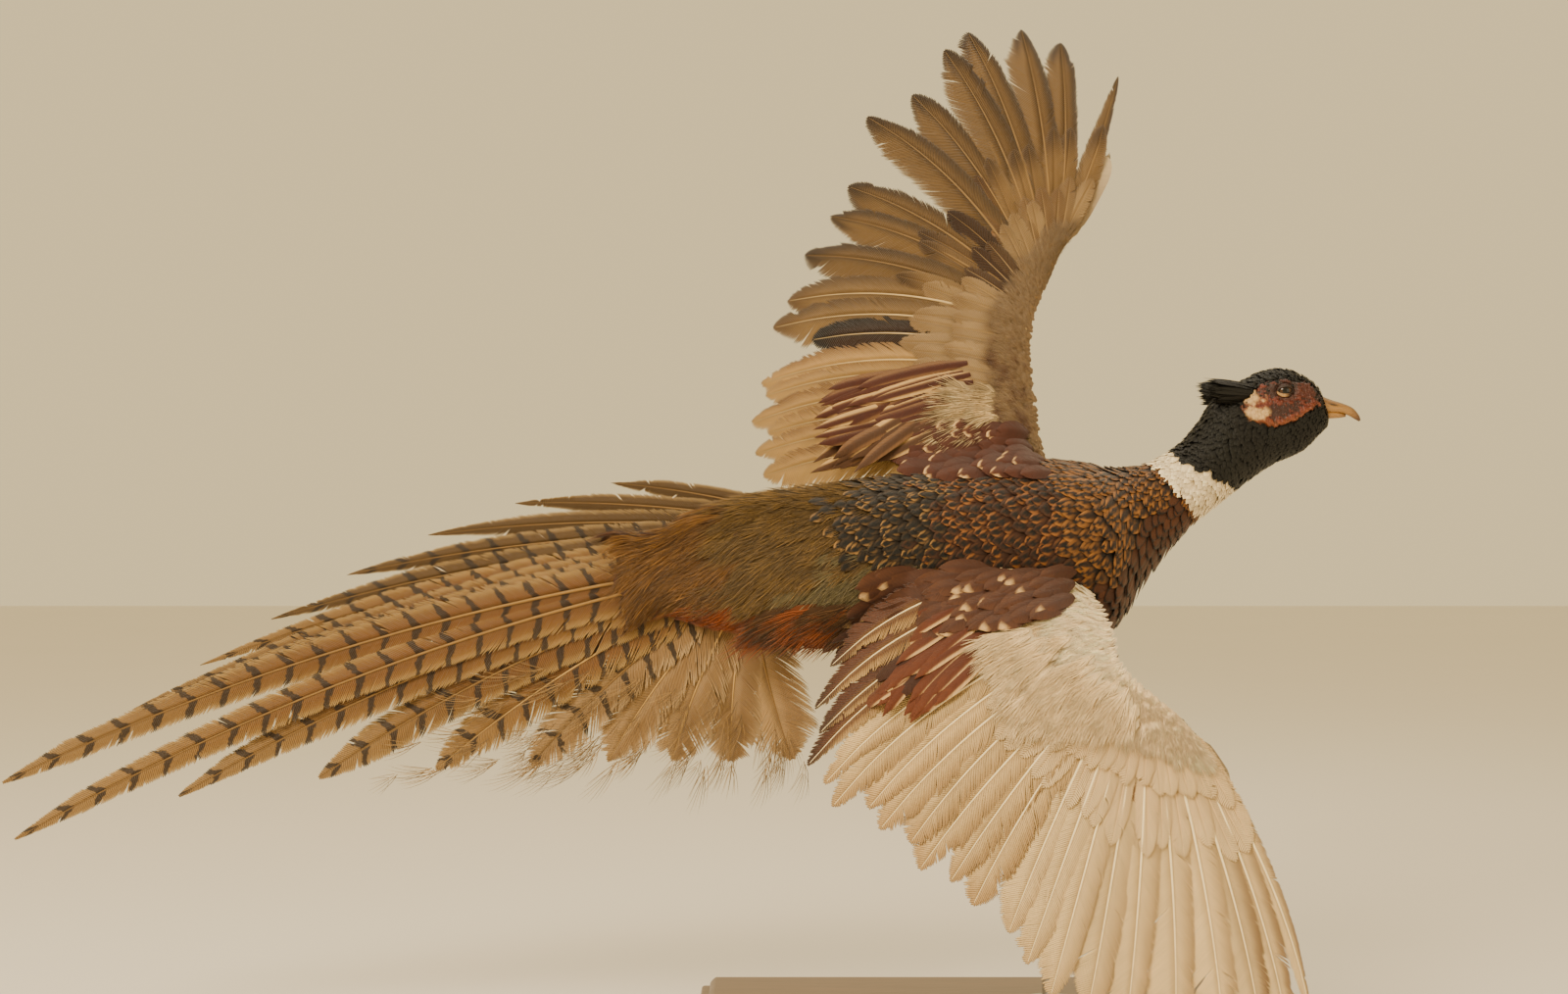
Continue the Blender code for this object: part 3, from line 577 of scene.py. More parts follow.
def wingPoint(name, feather, share):
    # a point of the wing's middle surface and its normal towards the bird's back
    def place(f, t):
        net = curveAt(wingNets[name], f / lastFeather)
        t = t[..., None]
        return net[..., :3] * (1 - t) ** 2 + net[..., 3:6] * 2 * t * (1 - t) + net[..., 6:] * t ** 2
    feather, share = np.broadcast_arrays(np.asarray(feather, float), np.asarray(share, float))
    point = place(feather, share)
    outWay = place(feather + 0.1, share) - place(feather - 0.1, share)
    alongWay = place(feather, share + 0.01) - place(feather, share - 0.01)
    normal = unit(np.cross(outWay, alongWay))
    return point, normal * -np.sign(normal[..., 1:2] + 1e-9), outWay / 0.2, alongWay / 0.02


def wingThickness(feather, share):
    arm = np.interp(share, [0, 0.09, 0.20, 0.34, 0.6, 1], [0.003, 0.012, 0.0085, 0.003, 0.0014, 0.0010])
    hand = np.interp(share, [0, 0.09, 0.20, 0.34, 0.6, 1], [0.0025, 0.0065, 0.005, 0.0024, 0.0014, 0.0010])
    out = smoothStep(9.0, 14.0, feather)
    return arm * (1 - out) + hand * out


def wingFlesh(name, bakeAt):
    # the arm and hand under the coverts, as a thin closed wedge
    feathers = np.linspace(-0.6, lastFeather + 0.1, 60)
    shares = np.array([0.02, 0.04, 0.07, 0.10, 0.14, 0.19, 0.25, 0.32])
    feather, share = np.meshgrid(feathers, np.concatenate([shares, shares[::-1]]), indexing="ij")
    side = np.where(np.arange(feather.shape[1]) < len(shares), 1.0, -1.0)
    point, normal, _, _ = wingPoint(name, feather, share)
    thick = np.maximum(wingThickness(feather, share) / 2 - 0.0014, 0.0003)
    verts = point + normal * (thick * side)[..., None]
    rows, columns = feather.shape
    centres = endMiddles(verts)
    unwrap = np.stack([0.65 + 0.3 * np.arange(columns) / columns + 0 * feather,
                       bakeAt + 0.45 * (feather + 1) / 24], -1).reshape(-1, 2)
    return (np.concatenate([verts.reshape(-1, 3), centres]), tubeTris(rows, columns),
            fill(skinColours["wing"], rows * columns + 2), np.concatenate([unwrap, [[0.8, bakeAt]] * 2]))


makeSkin()
print("skin ready")


# feather shapes

def leafShape(seed, rows, columns, blunt=0.5, ragged=0.03, arch=0.10):
    # a small closed contour feather: share along, share across and height over its half width
    turn = np.random.default_rng(seed)
    v = 1 - (1 - np.linspace(0, 1, rows)) ** 1.45
    u = np.linspace(-1, 1, columns)
    narrowing = 1 - np.clip((v - blunt) / (1 - blunt), 0, 1) ** 2.2
    width = np.minimum(1, 0.35 + 2.4 * v) * np.sqrt(np.clip(narrowing, 0.012, 1))
    along, across = np.meshgrid(v, u, indexing="ij")
    across = across * width[:, None]
    along = along - 0.06 * (np.abs(u) ** 2)[None, :] * v[:, None]
    along = along + turn.uniform(-ragged, ragged, columns)[None] * (v ** 3)[:, None]
    height = (arch * (1 - u ** 2) + 0.045 * np.exp(-(u / 0.12) ** 2))[None] * width[:, None]
    upper = np.arange(rows * columns).reshape(rows, columns)
    left, right = upper[:, 0], upper[:, -1]
    under = np.concatenate([np.stack([left[:-1], right[1:], right[:-1]], -1),
                            np.stack([left[:-1], left[1:], right[1:]], -1)])
    tris = np.concatenate([gridTris(rows, columns), under[:, ::-1]])
    return {"along": along.ravel(), "across": across.ravel(), "height": height.ravel(), "tris": tris}


def strandShape(seed, strands, base=True, thick=0.055, rings=3, tones=(0.55, 1.4)):
    # a loose feather: a short leaf at its base and single fine strands that run on past it
    turn = np.random.default_rng(seed)
    parts = []
    if base:
        leaf = leafShape(seed, 4, 3, blunt=0.4)
        parts.append((np.stack([leaf["along"] * 0.62, leaf["across"] * 0.75, leaf["height"],
                                np.full(len(leaf["along"]), 0.75)], -1), leaf["tris"]))
    for k in range(strands):
        out = 2 * (k + 0.5) / strands - 1 + turn.uniform(-0.12, 0.12)
        start = 0.05 + 0.30 * turn.random()
        end = 1.0 - 0.22 * abs(out) ** 1.5 - 0.16 * turn.random()
        s = np.linspace(0, 1, rings + 1)
        along = start + (end - start) * s
        across = out * (0.15 + 0.85 * s ** 0.7) + turn.uniform(-0.10, 0.10) * s ** 2
        height = 0.10 + 0.16 * turn.random() * s
        girth = thick * (1 - 0.75 * s) * turn.uniform(0.8, 1.25)
        centre = np.stack([along, across, height], -1)
        around = np.array([[0, -1, 0], [0, 0, 1.0], [0, 1, 0]])
        verts = centre[:-1, None] + around[None] * girth[:-1, None, None]
        verts = np.concatenate([verts.reshape(-1, 3), centre[-1:]])
        verts = np.concatenate([verts, np.full((len(verts), 1), turn.uniform(*tones))], 1)
        tris = np.concatenate([gridTris(rings, 3, closed=True),
                               fanTris(np.arange(3) + 3 * (rings - 1), 3 * rings)])
        parts.append((verts, tris))
    verts, tris = joinParts(parts)
    return {"along": verts[:, 0], "across": verts[:, 1], "height": verts[:, 2], "tris": tris,
            "tone": verts[:, 3]}


shapeTable = {
    # the kind, how many of it, the first one's seed, and its settings
    "back": (leafShape, 5, 20, {"rows": 9, "columns": 7, "ragged": 0.025}),
    "belly": (leafShape, 5, 20, {"rows": 7, "columns": 5, "ragged": 0.025}),
    "neck": (leafShape, 5, 60, {"rows": 6, "columns": 5, "blunt": 0.60, "ragged": 0.02}),
    "underCovert": (leafShape, 4, 120, {"rows": 12, "columns": 9, "blunt": 0.72, "ragged": 0.02, "arch": 0.12}),
    "leaf": (leafShape, 5, 200, {"rows": 9, "columns": 7, "arch": 0.16}),
    "long": (leafShape, 5, 210, {"rows": 18, "columns": 9, "blunt": 0.62, "ragged": 0.012, "arch": 0.22}),
    "tuft": (leafShape, 4, 240, {"rows": 7, "columns": 3, "blunt": 0.75, "ragged": 0.05, "arch": 0.3}),
    "thigh": (leafShape, 4, 270, {"rows": 8, "columns": 5, "ragged": 0.04, "arch": 0.2}),
    "loose": (strandShape, 6, 40, {"strands": 9}),
    "wisp": (strandShape, 5, 96, {"strands": 8, "base": False, "thick": 0.026, "rings": 4}),
    "covert": (strandShape, 4, 130, {"strands": 21, "thick": 0.05, "rings": 2, "tones": (0.94, 1.12)}),
    "soft": (strandShape, 5, 230, {"strands": 24, "thick": 0.045, "tones": (0.95, 1.10)}),
    "hair": (strandShape, 5, 225, {"strands": 14, "thick": 0.050}),
}
shapeSets = {name: [kind(seed + k, **settings) for k in range(count)]
             for name, (kind, count, seed, settings) in shapeTable.items()}


def layFeathers(shape, shafts, normals, widths):
    # copies one shape along many shafts, each given by a few points with normals
    knots = shafts.shape[1]
    along = shape["along"]
    basis = curveAt(np.eye(knots), along)
    slope = curveAt(np.eye(knots), along + 0.01) - curveAt(np.eye(knots), along - 0.01)
    places = np.einsum("nk,mkd->mnd", basis, shafts)
    ahead = unit(np.einsum("nk,mkd->mnd", slope, shafts))
    ups = np.einsum("nk,mkd->mnd", basis, normals)
    sides = unit(np.cross(ups, ahead))
    ups = np.cross(ahead, sides)
    across = (shape["across"][None] * widths[:, None])[..., None]
    height = (shape["height"][None] * widths[:, None])[..., None]
    return places + sides * across + ups * height


def gatherFeathers(shapes, which, shafts, normals, widths, paint, bakeAt, numbers):
    # lays every feather with the shape it was given, and paints it: paint(u, v, picked) gives its colours
    lengths = np.linalg.norm(np.diff(shafts, axis=1), axis=-1).sum(1)
    parts = []
    for k, shape in enumerate(shapes):
        picked = np.flatnonzero(which == k)
        if not len(picked):
            continue
        verts = layFeathers(shape, shafts[picked], normals[picked], widths[picked])
        m, n = verts.shape[:2]
        u, v = shape["across"], shape["along"]
        colours = paint(u, v, picked) * shape.get("tone", np.ones(n))[None, :, None]
        vane = np.stack([np.broadcast_to(u, (m, n)), v[None] * lengths[picked][:, None],
                         np.broadcast_to(numbers[picked][:, None], (m, n))], -1)
        patch = np.stack([u, v * 2 - 1], -1) * 0.0014
        bake = bakeAt[picked][:, None] + patch[None]
        tris = (shape["tris"][None] + (np.arange(m) * n)[:, None, None]).reshape(-1, 3)
        parts.append((verts.reshape(-1, 3), tris, colours.reshape(-1, 3), vane.reshape(-1, 3),
                      bake.reshape(-1, 2)))
    return joinParts(parts)


# the small feathers of body, neck and head

def distanceAlong(points):
    return np.concatenate([[0], np.cumsum(np.linalg.norm(np.diff(points, axis=0), axis=1))])


coatLooks = {
    # first and last station and the seed of the rows, then by station: the gap between rows and that within
    # one, the length and the half width of a feather; and the station where the coat's second piece begins
    "body": {"stations": (11.35, 0.45), "seed": 3, "second": 7.2,
             "rowGap": ((-3, 3, 5, 7, 10, 11.4), (0.0062, 0.0058, 0.0046, 0.0052, 0.0050, 0.0036)),
             "columnGap": ((-3, 3, 5, 7, 10, 11.4), (0.0060, 0.0062, 0.0054, 0.0062, 0.0058, 0.0042)),
             "length": ((-3, 2, 5, 7, 10, 11.7), (0.030, 0.034, 0.017, 0.017, 0.0165, 0.011)),
             "width": ((-3, 2, 5, 7, 10, 11.7), (0.0050, 0.0060, 0.0042, 0.0050, 0.0046, 0.0034))},
    "neck": {"stations": (21.0, 11.35), "seed": 8, "second": 14.0,
             "rowGap": ((11, 13, 15, 17, 21), (0.0024, 0.0022, 0.0020, 0.0016, 0.0012)),
             "columnGap": ((11, 13, 15, 17, 21), (0.0026, 0.0024, 0.0022, 0.0018, 0.0014)),
             "length": ((11, 13, 15, 17, 21), (0.0100, 0.0085, 0.0070, 0.0046, 0.0028)),
             "width": ((11, 13, 15, 17, 21), (0.0026, 0.0021, 0.0017, 0.0012, 0.0008))},
}


def bodyRoots(look):
    # quincunx rows of roots from one station back to another
    turn = np.random.default_rng(look["seed"])
    fine = np.linspace(*look["stations"], 400)
    travelled = distanceAlong(curveAt(bodyRows[:, :3], (fine + extraStations) / (len(bodyRows) - 1)))
    rowsDone = np.concatenate([[0], np.cumsum(np.diff(travelled) / np.interp(fine, *look["rowGap"])[:-1])])
    count = int(rowsDone[-1])
    stations = np.interp(np.arange(count) + 0.5, rowsDone, fine)
    roots = []
    for k, station in enumerate(stations):
        dense = np.linspace(0, 360, 181)
        ring, _, _, _ = coatSurface(np.full(len(dense), station), dense)
        girth = distanceAlong(ring)
        number = max(6, int(girth[-1] / np.interp(station, *look["columnGap"])))
        where = (np.arange(number) + 0.5 * (k % 2) + turn.uniform(-0.18, 0.18, number)) / number % 1.0
        theta = np.interp(where * girth[-1], girth, dense)
        jitter = turn.uniform(-0.25, 0.25, number) * abs(stations[1] - stations[0])
        roots.append(np.stack([station + jitter, theta], -1))
    return np.concatenate(roots)


def bodyShafts(roots, lengths, headings, depths, rise, knots=4):
    # the shaft of each feather runs back over the coat's surface, rising from the skin to the outline
    station, theta = roots[:, 0], roots[:, 1]
    _, _, alongWay, roundWay = coatSurface(station, theta)
    turn = np.radians(headings)
    back = lengths * np.cos(turn) / np.linalg.norm(alongWay, axis=1)
    aside = np.degrees(lengths * np.sin(turn) / np.linalg.norm(roundWay, axis=1))
    shares = np.linspace(0, 1, knots)
    stations = station[:, None] - back[:, None] * shares
    thetas = theta[:, None] - aside[:, None] * shares
    places, normals, _, _ = coatSurface(stations, thetas)
    under = -depths[:, None] * (1 - shares) ** 1.2 + rise[:, None] * shares ** 2
    return places + normals * under[..., None], normals


towardsCamera = 66      # the angle round the body that faces the camera


def lieOf(station, theta):
    # degrees by which the feathers turn from straight back towards the bird's right side
    side = np.cos(np.radians(theta - towardsCamera))
    rump = smoothStep(6.0, 3.0, station)
    seen = np.clip(side + 0.35, 0, 1)
    low = np.cos(np.radians((theta - 20)))
    return seen * (9 + rump * (16 + 14 * np.clip(low, 0, 1)))


bodyZones = {
    # station and angle of the middle, reach of each, and a handicap
    "mantle": (9.3, 105, 2.3, 62, 0.0), "shoulder": (7.0, 175, 1.8, 30, 0.1),
    "breast": (9.6, -12, 2.4, 52, 0.0), "upperBack": (6.4, 85, 1.25, 62, 0.0),
    "midBack": (5.0, 92, 0.75, 48, 0.0), "greyGreen": (4.4, 40, 1.15, 40, 0.0),
    "olive": (3.6, 85, 1.3, 75, 0.1), "brown": (0.8, 80, 2.2, 90, 0.1),
    "rust": (2.6, 14, 1.5, 27, -0.05), "breastLeft": (9.6, 232, 2.6, 56, 0.0),
    "flank": (5.0, -28, 2.2, 32, 0.1), "flankLeft": (5.0, 205, 2.2, 32, 0.1),
    "belly": (5.0, 270, 3.4, 44, 0.0), "vent": (1.0, 265, 2.4, 80, 0.0),
}
zoneNames = list(bodyZones)


def zoneOf(station, theta, seed):
    turn = np.random.default_rng(seed)
    scores = []
    for at, angle, reach, spread, handicap in bodyZones.values():
        apart = (theta - angle + 180) % 360 - 180
        scores.append(((station - at) / reach) ** 2 + (apart / spread) ** 2 + handicap
                      + turn.normal(0, 0.17 + 0.16 * np.exp(-(station - 4.5) ** 2), len(station)))
    return np.argmin(scores, axis=0)


def shownPart(v):
    # only the last third of a small feather shows past the ones in front of it
    return (v - 0.62) / 0.38


def scallop(u, v, base, fringe, mark, inner, rnd):
    # two golden half moons round a dark centre, parted by a black notch at the tip
    colours = fill(base, len(rnd), len(v))
    s = shownPart(v)[None]
    radius = np.hypot(u[None] / 0.95, (s - 0.30) / 0.66)
    inside = 0.30 + 0.22 * rnd[:, None]
    band = smoothStep(inside, inside + 0.16, radius) * (1 - smoothStep(0.86, 1.05, radius))
    colours = blendIn(colours, inner, (1 - smoothStep(0.2, 0.55, radius)) * 0.8)
    colours = blendIn(colours, fringe, band * smoothStep(-0.15, 0.15, s) * (0.72 + 0.28 * rnd[:, None]))
    notch = np.hypot(u[None] / (0.22 + 0.12 * rnd[:, None]), (s - 0.95) / 0.42)
    return blendIn(colours, mark, 1 - smoothStep(0.65, 1.1, notch))


def ringed(u, v, base, band, core, at, thick, rnd):
    # a pale horseshoe inside the tip round a dark core
    colours = fill(base, len(rnd), len(v))
    s = shownPart(v)[None]
    radius = np.hypot(u[None] / 0.95, (s - 0.35) / 0.62)
    shift = at + 0.10 * (rnd[:, None] - 0.5)
    colours = blendIn(colours, core, 1 - smoothStep(shift - 0.20, shift - 0.04, radius))
    onBand = 1 - smoothStep(thick * 0.5, thick, np.abs(radius - shift))
    broken = smoothStep(0.05, 0.35, np.abs(u))[None] + smoothStep(0.55, 0.7, rnd)[:, None]
    shown = np.clip(broken, 0, 1) * (0.18 + 0.82 * smoothStep(0.3, 0.7, rnd))[:, None]
    return blendIn(colours, band, onBand * smoothStep(-0.1, 0.25, s) * shown)


def edged(u, v, base, edge, at, rnd):
    colours = fill(base, len(rnd), len(v))
    radius = np.hypot(u[None] * 0.92, np.clip((v[None] - 0.5) / 0.5, 0, 1))
    return blendIn(colours, edge, smoothStep(at, at + 0.14, radius))


def plain(u, v, base, tip, rnd):
    colours = fill(base, len(rnd), len(v))
    return blendIn(colours, tip, smoothStep(0.45, 1.0, v)[None] * (0.4 + 0.6 * rnd[:, None]))


def plainPaint(base, tip, rnd):
    return lambda u, v, picked: plain(u, v, base, tip, rnd[picked])


bodyPatterns = {
    "mantle": (scallop, shade(44, 28, 17), shade(158, 114, 60), shade(13, 10, 8), shade(52, 32, 18)),
    "shoulder": (ringed, shade(92, 47, 27), shade(200, 160, 112), shade(70, 36, 22), 0.74, 0.09),
    "breast": (edged, shade(94, 58, 30), shade(22, 14, 9), 0.74),
    "upperBack": (ringed, shade(76, 48, 30), shade(146, 102, 56), shade(26, 17, 11), 0.66, 0.17),
    "midBack": (ringed, shade(50, 38, 24), shade(156, 124, 78), shade(13, 11, 8), 0.68, 0.15),
    "greyGreen": (plain, shade(132, 122, 92), shade(166, 150, 116)),
    "olive": (plain, shade(124, 102, 62), shade(172, 140, 84)),
    "brown": (plain, shade(126, 94, 50), shade(188, 144, 76)),
    "rust": (plain, shade(152, 88, 38), shade(190, 116, 54)),
    "flank": (scallop, shade(72, 46, 26), shade(146, 104, 56), shade(20, 13, 9), shade(92, 60, 32)),
    "belly": (plain, shade(40, 27, 18), shade(62, 38, 22)),
    "vent": (plain, shade(92, 60, 34), shade(120, 70, 34)),
}


def bodyPaint(zone, rnd):
    def paint(u, v, picked):
        colours = np.zeros((len(picked), len(v), 3))
        for k, name in enumerate(zoneNames):
            mine = np.flatnonzero(zone[picked] == k)
            if len(mine):
                own = rnd[picked][mine]
                pattern, *tints = bodyPatterns[name.removesuffix("Left")]
                colours[mine] = pattern(u, v, *tints, own) * (0.82 + 0.36 * own)[:, None, None]
        return colours
    return paint


def bodyBake(roots):
    return np.stack([roots[:, 1] / 360 % 1.0 * 0.98 + 0.01, (roots[:, 0] + 3.2) / 25 * 0.98 + 0.01], -1)


def makeCoat(groups, which, shafts, normals, widths, paint, roots, rnd):
    # each group: the feathers chosen for a piece, their shapes, material and slot
    bakeAt = bodyBake(roots)
    for name, (chosen, shapeSet, look, slot) in groups.items():
        picked, shapes = np.flatnonzero(chosen), shapeSets[shapeSet]
        arrays = gatherFeathers(shapes, which[picked] % len(shapes), shafts[picked], normals[picked],
                                widths[picked], lambda u, v, p: paint(u, v, picked[p]), bakeAt[picked],
                                rnd[picked])
        makePiece(name, plumage[look], slot, arrays)


def makeBodyCoat():
    look = coatLooks["body"]
    roots = bodyRoots(look)
    turn = np.random.default_rng(4)
    count = len(roots)
    station, theta = roots[:, 0], roots[:, 1]
    rnd = turn.random(count)
    zone = zoneOf(station, theta, 6)
    loose = np.isin(zone, [zoneNames.index(n) for n in ("olive", "brown", "rust", "vent", "greyGreen")])
    hidden = np.cos(np.radians(theta - towardsCamera)) < -0.35
    keep = ~(hidden & (turn.random(count) < 0.35))
    lengths = np.interp(station, *look["length"]) * turn.uniform(0.88, 1.12, count)
    lengths = lengths * np.where(loose, 1.1, 1.0) * np.where(hidden, 1.25, 1.0)
    widths = np.interp(station, *look["width"]) * turn.uniform(0.9, 1.1, count) * np.where(hidden, 1.25, 1.0)
    headings = lieOf(station, theta) + turn.normal(0, 7, count) + np.where(loose, turn.normal(0, 6, count), 0)
    rise = np.where(loose, turn.uniform(0.0, 0.0022, count), turn.uniform(0.0, 0.0007, count))
    shafts, normals = bodyShafts(roots, lengths, headings, coatDepth(station), rise)
    which = turn.integers(0, 100, count)
    back = ~hidden
    front = station >= look["second"]
    groups = {
        "coat_back": (keep & ~loose & back & ~front, "back", "body", "body_plumage"),
        "coat_mantle": (keep & ~loose & back & front, "back", "body", "body_plumage"),
        "coat_belly": (keep & ~loose & ~back, "belly", "body", "body_plumage"),
        "coat_rump": (keep & loose & back, "loose", "rump", "body_plumage"),
        "coat_vent": (keep & loose & ~back, "loose", "rump", "body_plumage"),
    }
    makeCoat(groups, which, shafts, normals, widths, bodyPaint(zone, rnd), roots, rnd)


def collarShare(station, theta):
    # the white ring is narrow at the nape and broad on the throat; tips reach back past their roots
    front = np.interp(np.cos(np.radians(theta - 90)), [-1, 0, 1], [13.45, 12.95, 12.50])
    return (station > 11.62) & (station < front)


def neckPaint(station, theta, places, rnd):
    white = collarShare(station + 0.05 * (rnd - 0.5), theta)
    brown = (station < 11.7) & ~white
    crown = smoothStep(14.5, 16.5, station) * np.clip(np.sin(np.radians(theta)), 0, 1)

    def paint(u, v, picked):
        own = rnd[picked]
        black = plain(u, v, shade(15, 13, 10), shade(27, 24, 18), own)
        green = np.sin(places[picked][:, 0] * 160 + places[picked][:, 2] * 90) * 0.5 + 0.5
        black = black + (shade(14, 30, 22) * 0.25)[None, None] * green[:, None, None] * v[None, :, None]
        black = blendIn(black, shade(36, 32, 20), (crown[picked] * 0.5)[:, None] * smoothStep(0.3, 1, v)[None])
        pale = plain(u, v, shade(222, 206, 176), shade(242, 230, 204), own)
        colours = np.where(white[picked][:, None, None], pale * 1.06, black)
        tan = scallop(u, v, shade(44, 28, 16), shade(168, 120, 64), shade(16, 11, 8), shade(58, 36, 20), own)
        return np.where(brown[picked][:, None, None], tan, colours) * (0.85 + 0.3 * own)[:, None, None]
    return paint


def makeNeckAndHead():
    look = coatLooks["neck"]
    roots = bodyRoots(look)
    turn = np.random.default_rng(9)
    count = len(roots)
    station, theta = roots[:, 0], roots[:, 1]
    rnd = turn.random(count)
    places, _, _, _ = coatSurface(station, theta)
    lengths = np.interp(station, *look["length"]) * turn.uniform(0.85, 1.15, count)
    lengths = lengths * (1 - 0.25 * np.exp(-((station - 12.9) / 0.5) ** 2))
    widths = np.interp(station, *look["width"])
    headings = 0.5 * lieOf(station, theta) + turn.normal(0, 6, count)
    rise = turn.uniform(-0.0003, 0.0002, count)
    shafts, normals = bodyShafts(roots, lengths, headings, coatDepth(station), rise)
    # none grows on the bare face, and those in front of it stop short of it
    share = faceShare(shafts).min(axis=1)
    rootShare = faceShare(shafts[:, 0])
    sparse = (rootShare > 0.80) & (rootShare < 1.04) & (turn.random(count) < 0.25)
    keep = (share > 1.0) | sparse
    which = turn.integers(0, len(shapeSets["neck"]), count)
    groups = {"coat_neck": (keep & (station < look["second"]), "neck", "black", "neck_plumage"),
              "coat_head": (keep & (station >= look["second"]), "neck", "black", "head_plumage")}
    makeCoat(groups, which, shafts, normals, widths, neckPaint(station, theta, places, rnd), roots, rnd)


makeBodyCoat()
makeNeckAndHead()
print("coat ready")


# flight and tail feathers, each with its own barbs

barbForm = {
    # at five places from the shaft out: share across, half width of a barb in steps, and height of its ridge
    "across": np.array([0.0, 0.30, 0.62, 0.88, 1.0]), "girth": np.array([0.62, 0.62, 0.60, 0.46, 0.0]),
    "ridge": np.array([0.10, 0.10, 0.09, 0.06, 0.0]) * 0.001, "lap": 0.00006,
}
barbPlaces = np.repeat(np.arange(5), (3, 3, 3, 3, 1))      # the place that each of a barb's points stands at
barbPoints = len(barbPlaces)


def bladeShape(feather, turn):
    # one large feather: a raised shaft and two vanes made of separate barbs that lap like tiles
    length, step = feather["length"], feather["step"]
    parts = []
    vaneFrom = feather["vaneFrom"]
    for side, width in ((-1, feather["minus"]), (1, feather["plus"])):
        count = int(length * (0.995 - vaneFrom) / step)
        root = np.linspace(vaneFrom, 0.993, count)
        # a barb leaves the shaft at a steady angle and ends on the vane's outline
        outline = np.linspace(0, 1.002, 400)
        lean = feather["lean"] * (1 - 0.35 * smoothStep(0.8, 1.0, outline))
        reachOf = lean * width * feather["profile"](np.minimum(outline, 1)) / length
        rootOf = np.maximum.accumulate(outline - reachOf)
        end = np.maximum(np.interp(root, rootOf + np.arange(len(outline)) * 1e-9, outline), root + 0.001)
        tipOut = feather["profile"](np.minimum(end, 1.0))
        # barbs part into groups at a few places, and some are broken or frayed
        cuts = np.sort(turn.uniform(0.1, 1.0, feather["splits"]))
        group = np.searchsorted(cuts, root)
        slide = turn.normal(0, feather["parting"], feather["splits"] + 1)[group] / length
        slide = slide * (1 - smoothStep(0.85, 1.0, root))
        lift = turn.normal(0, 0.35, feather["splits"] + 1)[group] * 0.001
        reach = 1 - feather["fray"] * turn.random(count) ** 3
        worn = turn.random(count) < feather["gaps"]
        reach = np.where(worn, reach * turn.uniform(0.45, 0.9, count), reach)
        chipped = np.abs(turn.normal(0, feather.get("tipWear", 0.0), feather["splits"] + 1))[group]
        reach = reach * (1 - np.minimum(chipped, 0.4) * smoothStep(0.62, 0.95, root))
        q = barbForm["across"]
        bend = 0.72 * q + 0.28 * q ** 2
        along = root[:, None] + (end - root)[:, None] * bend[None] * reach[:, None]
        along = along + slide[:, None] * q[None] ** 2
        out = width * tipOut[:, None] * q[None] * reach[:, None]
        droop = -feather["droop"] * out ** 2 / max(width, 1e-6)
        height = droop + feather["tilt"] * side * out + lift[:, None] * q[None] ** 2
        girth = barbForm["girth"] * step / length
        ridge = barbForm["ridge"] * feather.get("relief", 1.0)
        lap = barbForm["lap"]
        rings = []
        for k in range(4):
            back = (along[:, k] - girth[k], side * out[:, k], height[:, k] + lap)
            top = (along[:, k], side * out[:, k], height[:, k] + ridge[k] + lap)
            front = (along[:, k] + girth[k], side * out[:, k], height[:, k] - lap)
            rings += [np.stack(p, -1) for p in (back, top, front)]
        rings.append(np.stack([along[:, 4], side * out[:, 4], height[:, 4]], -1))
        verts = np.stack(rings, 1)
        one = np.concatenate([gridTris(4, 3, closed=True), fanTris(np.arange(9, 12), 12), [[2, 1, 0]]])
        if side > 0:
            one = one[:, ::-1]
        tris = (one[None] + (np.arange(count) * barbPoints)[:, None, None]).reshape(-1, 3)
        share = np.repeat(q[None], count, 0)[:, barbPlaces] * side
        parts.append((verts.reshape(-1, 3), tris, share.ravel(), np.zeros(count * barbPoints)))
    sections, sides = feather.get("sections", 22), 6
    s = np.linspace(0, 0.985, sections)
    radius = feather["quill"] * (1 - 0.86 * s ** 0.8)
    angle = 2 * math.pi * np.arange(sides) / sides
    along = np.repeat(s[:, None], sides, 1)
    across = radius[:, None] * np.cos(angle)[None]
    height = radius[:, None] * (np.sin(angle)[None] * 1.1 + 0.45)
    verts = np.stack([along, across, height], -1).reshape(-1, 3)
    verts = np.concatenate([verts, [[0.0, 0.0, 0.0], [0.995, 0.0, 0.0]]])
    parts.append((verts, tubeTris(sections, sides), np.zeros(len(verts)), np.ones(len(verts))))
    return joinParts(parts)


def setBlade(feather, shaft, normals, seed, paint, cell, number):
    turn = np.random.default_rng(seed)
    verts, tris, share, quill = bladeShape(feather, turn)
    shape = {"along": verts[:, 0], "across": verts[:, 1], "height": verts[:, 2]}
    placed = layFeathers(shape, shaft[None], normals[None], np.ones(1))[0]
    metres = verts[:, 0] * feather["length"]
    colours = paint(share, verts[:, 0], quill, turn)
    vane = np.stack([share, metres, np.full(len(share), number)], -1)
    phase = barPhase(metres, feather)
    u0, v0, u1, v1 = cell
    bake = np.stack([u0 + (u1 - u0) * (0.5 + 0.48 * share), v0 + (v1 - v0) * np.clip(verts[:, 0], 0, 1)], -1)
    return placed, tris, colours, vane, phase, bake


def bakeCell(column, columns, margin=0.003):
    return column / columns + margin, 0.01, (column + 1) / columns - margin, 0.99


def barPhase(metres, feather):
    # the bars stand a little further apart towards the tip
    near, far = feather.get("barGap", (0.0175, 0.024))
    share = np.clip(metres / 0.46, 0, 1)
    return metres / (near + (far - near) * share * 0.5) + feather.get("barShift", 0.0)


def lengthOf(points):
    return np.linalg.norm(np.diff(points, axis=0), axis=1).sum()


wingBlade = {"step": 0.0014, "lean": 1.0, "droop": 0.09, "tilt": 0.055, "quill": 0.0013}


def bladeProfile(blunt, tipPower=2.0):
    def profile(share):
        rise = np.minimum(1.0, 0.45 + 2.2 * share)
        fall = np.sqrt(np.clip(1 - np.clip((share - blunt) / (1 - blunt), 0, 1) ** tipPower, 0.004, 1))
        return rise * fall
    return profile


